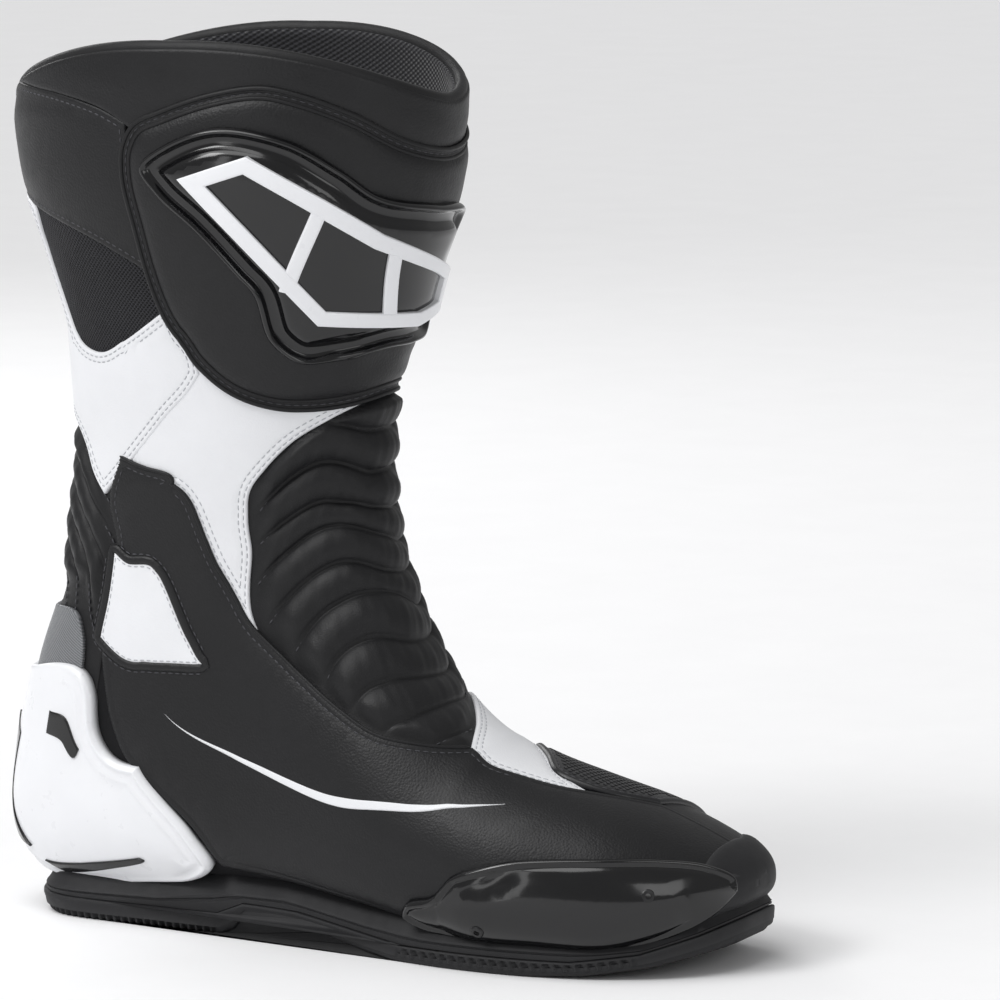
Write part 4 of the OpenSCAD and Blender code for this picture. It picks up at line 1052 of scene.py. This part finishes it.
def bellows_grid():
    U, S, H = [], [], []
    for k in range(len(SEAM_TABLE) - 1):
        lo, hi = SEAM_TABLE[k], SEAM_TABLE[k + 1]
        for j in range(PER if k < len(SEAM_TABLE) - 2 else PER + 1):
            t = j / PER
            rows = lo + (hi - lo) * t
            ends = (smooth((BU + 46) / 6) * smooth((table(rows, QUARTER_FRONT) - BU) / 8)
                    * smooth((rows - table(BU, SADDLE_TOP)) / 5)
                    * smooth((table(BU, SHIN_LOW) - 1 - rows) / 4))
            w = abs(math.sin(math.pi * (t**.88)))**.62
            gap = np.minimum((hi - lo) / 9, 1.25)
            wr = .14 * np.sin(BU * .55 + k * 2.1) * w + .10 * np.sin(BU * 1.15 + k * 1.3 + t * 5) * w
            U.append(BU)
            S.append(rows)
            H.append(.25 + (.4 + 3.5 * w * gap + wr) * ends)
    return np.array(U), np.array(S), np.array(H)


gu, gs, gh = bellows_grid()
v, f = grid_solid(gu, gs, -.3, gh)
bellows = make(
    "front_bellows_soft", v, f, "soft", replaces=["front_bellows"], uv=np.tile(np.stack([gu, gs], -1).reshape(-1, 2),
    (2, 1)))
for k in range(1, len(SEAM_TABLE) - 1):
    m = (BU > -43) & (BU < table(SEAM_TABLE[k], QUARTER_FRONT) - 2) & (SEAM_TABLE[k] > table(BU, SADDLE_TOP) + 1)
    stitch_run(BU[m], SEAM_TABLE[k][m] - .35, .75, pitch=3.0, length=2.0)


def rear_seam(u, k):
    m = np.minimum(np.abs(u), 360 - np.abs(u))
    g = hermite(m, [96, 107, 122, 140, 160, 180], [-3, 4, 12, 20, 25, 27])
    return 166 + g + 4.3 * k


RU = np.linspace(103, 257, 110)
REAR_LOW = table(RU, [(103, 172), (115, 178), (127, 182.5), (180, 185.5), (233, 182.5), (246, 178), (257, 172)])
REAR_HIGH = table(
    RU, [(103, 195), (118, 193.5), (124, 195), (133, 199.5), (144, 205.5), (160, 209), (180, 210.5), (200, 208.5),
    (216, 205), (257, 200)])
rib_u, rib_s, rib_h = [], [], []
for k in range(-4, 5):
    for j in range(12):
        w = abs(math.sin(math.pi * (j / 12)))**.6
        s = rear_seam(RU, k + j / 12)
        front = table(s, [(150, 97), (158, 98), (164, 100), (172, 106), (185, 113), (194, 121), (200, 124)])
        ok = (smooth((s - REAR_LOW) / 3) * smooth((REAR_HIGH - s) / 3.5) * smooth((RU - front) / 7)
              * smooth((257 - RU) / 5))
        rib_u.append(RU)
        rib_s.append(np.clip(s, REAR_LOW - 10, REAR_HIGH + 6))
        rib_h.append(.2 + (.3 + 2.7 * w + .12 * np.sin(RU * .8 + k)) * ok)
rib_u, rib_s, rib_h = np.array(rib_u), np.array(rib_s), np.array(rib_h)
rib_s = np.maximum.accumulate(rib_s + np.arange(len(rib_s))[:, None] * .004, axis=0)
v, f = grid_solid(rib_u, rib_s, -.35, rib_h)
rear_bellows = make(
    "rear_bellows_soft", v, f, "soft", replaces=["rear_bellows"],
    uv=np.tile(np.stack([rib_u, rib_s], -1).reshape(-1, 2), (2, 1)))
for k in range(-3, 5):
    s = rear_seam(RU, k)
    m = (s > table(RU, [(103, 173), (124, 177), (180, 180), (236, 177), (257, 173)])) & \
        (s < table(RU, [(103, 198), (118, 195.5), (124, 197), (144, 205), (180, 210), (216, 205), (257, 200)])) & \
        (RU > 107) & (RU < 253)
    stitch_run(RU[m], s[m] - .2, .62, pitch=3.0)

# ---------------------------------------------------------------- heel
COUNTER = [
    (95, 155, 1), (100, 162.3), (103, 167.5), (110, 171.3), (124, 174.3), (150, 176.3), (180, 177.3), (210, 176.3),
    (236, 174.3), (250, 171.3), (257, 167.5), (260, 162.3), (265, 155, 1), (260, 149), (250, 143), (230, 138.5),
    (215, 141), (208, 148), (200, 155), (190, 159.5), (180, 161), (170, 159.5), (160, 155), (152, 148), (145, 141),
    (130, 138.5), (110, 143), (100, 149)]


def counter_relief(u, s, d):
    ridge = .9 * np.exp(-((d - 2.2) / .9)**2) + .65 * np.exp(-((d - 6.4) / 1.0)**2)
    return ridge * smooth((172 - s) / 6 + .4) + .8 * smooth((d - 8) / 16)


Panel(
    "heel_counter_moulded", COUNTER, "tpu_white", t=2.6, base=1.9, floor=0.0, round_=1.6, grid=2.6, body="foot",
    replaces=["heel_counter"], relief=counter_relief, rings=(1.2, 2.2, 3.2, 4.2, 5.4, 6.4, 7.4, 8.6))
HEEL_MARKS = (
    ("heel_vent_upper", .45, 4.9, ["heel_vents"],
    [(123, 169.6, 1), (113, 167.4), (106, 163, 1), (108, 162.6), (114, 165.6), (123, 167.6, 1)]), ("heel_vent_lower",
    .45, 5.0, [], [(150, 158, 1), (136, 153), (127, 148, 1), (129, 147.2), (138, 151), (151, 155.6, 1)]),
    ("heel_inlay", .5, 5.2, ["heel_inlay"],
    [(148, 170, 1), (160, 172.5, 1), (166, 168, 1), (160, 162, 1), (150, 160, 1), (157, 166, 1)]))
for side in ("lateral", "medial"):
    for name, t, base, nodes, marks in HEEL_MARKS:
        if side == "medial":
            marks, nodes = [(360 - p[0], *p[1:]) for p in marks][::-1], []
        Panel(f"{name}_{side}", marks, "gloss", t=t, base=base, floor=3.6, round_=.3, grid=2.0, body="foot",
              replaces=nodes)
Panel(
    "heel_reflector_weave", [(110, 169.4, 1), (119, 171.0), (127, 172.0), (180, 173), (233, 172.0), (241, 171.0),
    (250, 169.4, 1), (246, 175.5), (233, 180), (180, 183), (127, 180), (114, 175.5)], "reflector", t=.9, base=1.2,
    round_=.7, grid=3.0, replaces=["heel_reflector"])

# ---------------------------------------------------------------- toe armour
SLIDER = [
    (96, 4.0), (76, 3.4), (58, 5), (51, 12), (54, 25), (62, 42), (69, 60), (74.5, 73), (81, 84), (88, 93), (97, 101),
    (108, 105.5), (121, 106.5), (132, 104), (137, 96), (138, 80), (137.5, 68), (136, 44), (131, 22), (116, 8)]


def slider_relief(u, s, d):
    notch = np.exp(-((s - 76) / 8.0)**2) * smooth((11 - d) / 5) * smooth((104 - u) / 14)
    return (.7 * np.exp(-((d - 1.6) / .8)**2) - .55 * np.exp(-((d - 3.2) / .6)**2) + 1.1 * smooth((d - 4) / 10)
            - 1.1 * notch * smooth((d - 2.4) / 2.4))


Panel(
    "toe_slider_moulded", SLIDER, "gloss", t=2.8, base=2.4, floor=.8, round_=1.8, grid=2.4, body="foot",
    replaces=["toe_slider"], relief=slider_relief, rings=(1.6, 2.2, 2.7, 3.2, 3.7, 4.4, 5.5, 6.8, 8.0, 9.2))


def screw_head(u0, s0):
    """A turned head with a socket, on the slider's face."""
    u0, s0 = np.array([u0]), np.array([s0])
    c, n = on(u0, s0, np.array([6.3]))[0], normal(u0, s0)[0]
    a = unit(tangents(u0, s0)[1])[0]
    b = np.cross(n, a)
    top, *prof, bottom = (-.7, (1.0, -.7), (1.15, -.55), (1.15, .1), (1.5, .1), (2.2, .0), (2.6, -.45), (2.6, -1.6),
                          -1.6)
    turns = np.arange(24) * math.pi / 12
    rows = [[c + n * h + r * (math.cos(k) * a + math.sin(k) * b) for k in turns] for r, h in prof]
    vs = np.concatenate([[c + n * top], *rows, [c + n * bottom]])
    nxt = [*range(1, 24), 0]
    fs = [(0, 1 + k, 1 + nxt[k]) for k in range(24)]
    for o1 in range(1, 24 * len(rows) - 23, 24):
        fs += [(o1 + k, o1 + 24 + k, o1 + 24 + nxt[k], o1 + nxt[k]) for k in range(24)]
    last = 1 + 24 * (len(rows) - 1)
    return vs, fs + [(last + nxt[k], last + k, len(vs) - 1) for k in range(24)]


v, f = merged([screw_head(83, 26), screw_head(112, 84)])
make("slider_screw_heads", v, f, "satin", "foot", "metal", ["slider_screws"], auto=35)

# the rubber nose: limit is how far back it reaches at each u
NU = np.linspace(-180, 178.5, 240)
limit = table(NU, [(-180, 20), (-110, 26), (-70, 22), (-45, 17), (-17, 12), (27, 12), (60, 12), (90, 11), (180, 20)])
share = 1 - np.cos(np.radians(np.linspace(3, 90, 18)))
share = share / share[-1]
NS = np.maximum(share[:, None] * limit[None, :], .12)
thin = np.concatenate([np.ones(14), [.97, .85, .6, .2]])[:, None]
low_part = smooth((np.abs(np.where(NU < 0, NU + 360, NU) - 130) - 95) / -18)
ribs = .38 * np.clip(np.sin(NU * 2 * math.pi / 3.0) * 2, -1, 1) * low_part
NH = 1.7 + 1.7 * thin + ribs[None, :] * smooth((NS - 1.2) / 1.0) * smooth((limit[None, :] - NS) / 2)
v, f = grid_solid(np.broadcast_to(NU, NS.shape), NS, .3, NH, ring=True, cap=True)
make("toe_bumper_moulded", v, f, "rubber", "foot", "pad_rubber", ["toe_bumper"])

# ---------------------------------------------------------------- zip and collar tab
def flap_low(u):
    return np.interp(u, [-139, -70, -61], [300, 301, 306])


def flap_high(u):
    return np.minimum(collar_edge(np.asarray(u, float)) - 5, np.interp(u, [-80, -61], [330, 314]))


fu = np.linspace(-139, -61, 12)
flap_ctrl = [(-139, 300, 1), *[(float(u), float(flap_low(u))) for u in fu[1:-1]], (-62, 306), (-61, 310),
             (-63, 314.5), *[(float(u), float(flap_high(u))) for u in fu[::-1][2:-1]],
             (-139, float(flap_high(-139)), 1)]
flap = Panel(
    "closure_tab_leather", flap_ctrl, "leather", t=1.7, base=3.0, floor=2.6, round_=1.2, grid=2.6, body="closure_flap",
    replaces=["closure_flap"], relief=lambda u, s, d: .5 * smooth((d - 3) / 8) - .25 * np.exp(-((d - 2.2) / .5)**2),
    rings=groove_rings(2.2))
for name, mat in {"hook_patch": "velcro", "loop_patch": "velcro", "zip_tape_front": "tape", "zip_tape_rear": "tape",
                  "zip_teeth": "plastic", "zip_stops": "metal", "zip_slider": "metal", "zip_pull": "metal"}.items():
    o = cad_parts[name]
    o.data.materials.clear()
    o.data.materials.append(MAT[mat])

# a rolled edge round the collar's mouth
ru = np.linspace(-180, 177.5, 144)
rs = collar_edge(ru) - 1.6
p, n = skin(ru, rs, -1.7), normal(ru, rs)
v, f = tube(p, n, 3.55, closed=True, sides=14, squash=.72)
roll = make("collar_binding", v, f, "soft")

# ---------------------------------------------------------------- seams
seam(collar, 39, 44, 2.2)
seam(rear, None, None, 1.7, "thread_white", double=2.0, pitch=2.9, length=2.0, radius=.25)
seam(wedge, 3, 15, 1.6, "thread_white", double=2.0, pitch=2.9, length=2.0, radius=.25)
seam(saddle, None, None, 1.8, "thread_white", double=2.0, pitch=2.9, length=2.0, radius=.25)
seam(quarter, 0, 13, 3.1)
seam(quarter, 35, 42, 3.1)
seam(med_quarter, None, None, 2.2)
seam(med_strip, None, None, 1.5, double=1.9)
seam(pad, 0, 17, 3.4, pitch=3.2)
seam(flap, None, None, 2.2)
seam(calf, None, None, 2.6)
for row_s in (296.4, 294.2):
    stitch_run(np.linspace(-102, -58, 50), np.full(50, row_s), 1.95)
i1 = quarter.marks[11]
u, s = (x[:i1] for x in slide(quarter.u, quarter.s, .35, quarter.side))
v, f = tube(on(u, s, np.full(i1, 2.15)), normal(u, s), .75, taper=True)
make("quarter_piping", v, f, "soft")
stitch_meshes()

# ---------------------------------------------------------------- camera, light and floor
TARGET = np.array([0, .09, .16])


def aim(obj, place):
    """Puts obj at place, looking at the boot's middle."""
    obj.location = Vector(place)
    obj.rotation_mode = "QUATERNION"
    obj.rotation_quaternion = (Vector(TARGET) - Vector(place)).to_track_quat("-Z", "Y")


def area(name, place, size, power, size_y=None):
    light = bpy.data.lights.new(name, "AREA")
    light.energy, light.size = power, size
    if size_y:
        light.shape, light.size_y = "RECTANGLE", size_y
    o = bpy.data.objects.new(name, light)
    bpy.context.scene.collection.objects.link(o)
    aim(o, place)


camera = bpy.data.objects.new("camera", bpy.data.cameras.new("camera"))
bpy.context.scene.collection.objects.link(camera)
AZ, EL, DISTANCE = math.radians(117), math.radians(8.5), 2.5
back = np.array([math.sin(AZ) * math.cos(EL), -math.cos(AZ) * math.cos(EL), math.sin(EL)])
aim(camera, TARGET + DISTANCE * back)
camera.data.sensor_width, camera.data.lens = 36.0, 239.4
camera.data.shift_x, camera.data.shift_y = .1175, .0143
bpy.context.scene.camera = camera

area("key", (1.3, -.75, 1.6), .7, 12)
area("front", (1.0, 1.9, 1.0), .8, 4)
area("rim", (-1.1, -1.3, 1.0), .8, 6)
area("strip", (1.7, -.2, .55), .2, 1.6, 1.3)
sun = bpy.data.lights.new("sky", "SUN")
sun.energy, sun.angle = 1.55, math.radians(50)
sky = bpy.data.objects.new("sky", sun)
bpy.context.scene.collection.objects.link(sky)
aim(sky, (.9, -.5, 2.4))
world = bpy.data.worlds.new("studio")
bpy.context.scene.world = world
world.use_nodes = True
world.node_tree.nodes["Background"].inputs["Color"].default_value = (1, 1, 1, 1)
world.node_tree.nodes["Background"].inputs["Strength"].default_value = .37
bpy.context.scene.view_settings.view_transform = "Standard"

FLOOR_HALF = 60.0
fm = bpy.data.meshes.new("floor")
corners = [(x * FLOOR_HALF, y * FLOOR_HALF, 0) for x, y in ((-1, -1), (1, -1), (1, 1), (-1, 1))]
fm.from_pydata(corners, [], [(0, 1, 2, 3)])
floor = bpy.data.objects.new("floor", fm)
bpy.context.scene.collection.objects.link(floor)
fm.materials.append(material("floor_paper", srgb(246, 246, 247), .8, [("noise", 300, .05)], vary=.01, specular=.2))
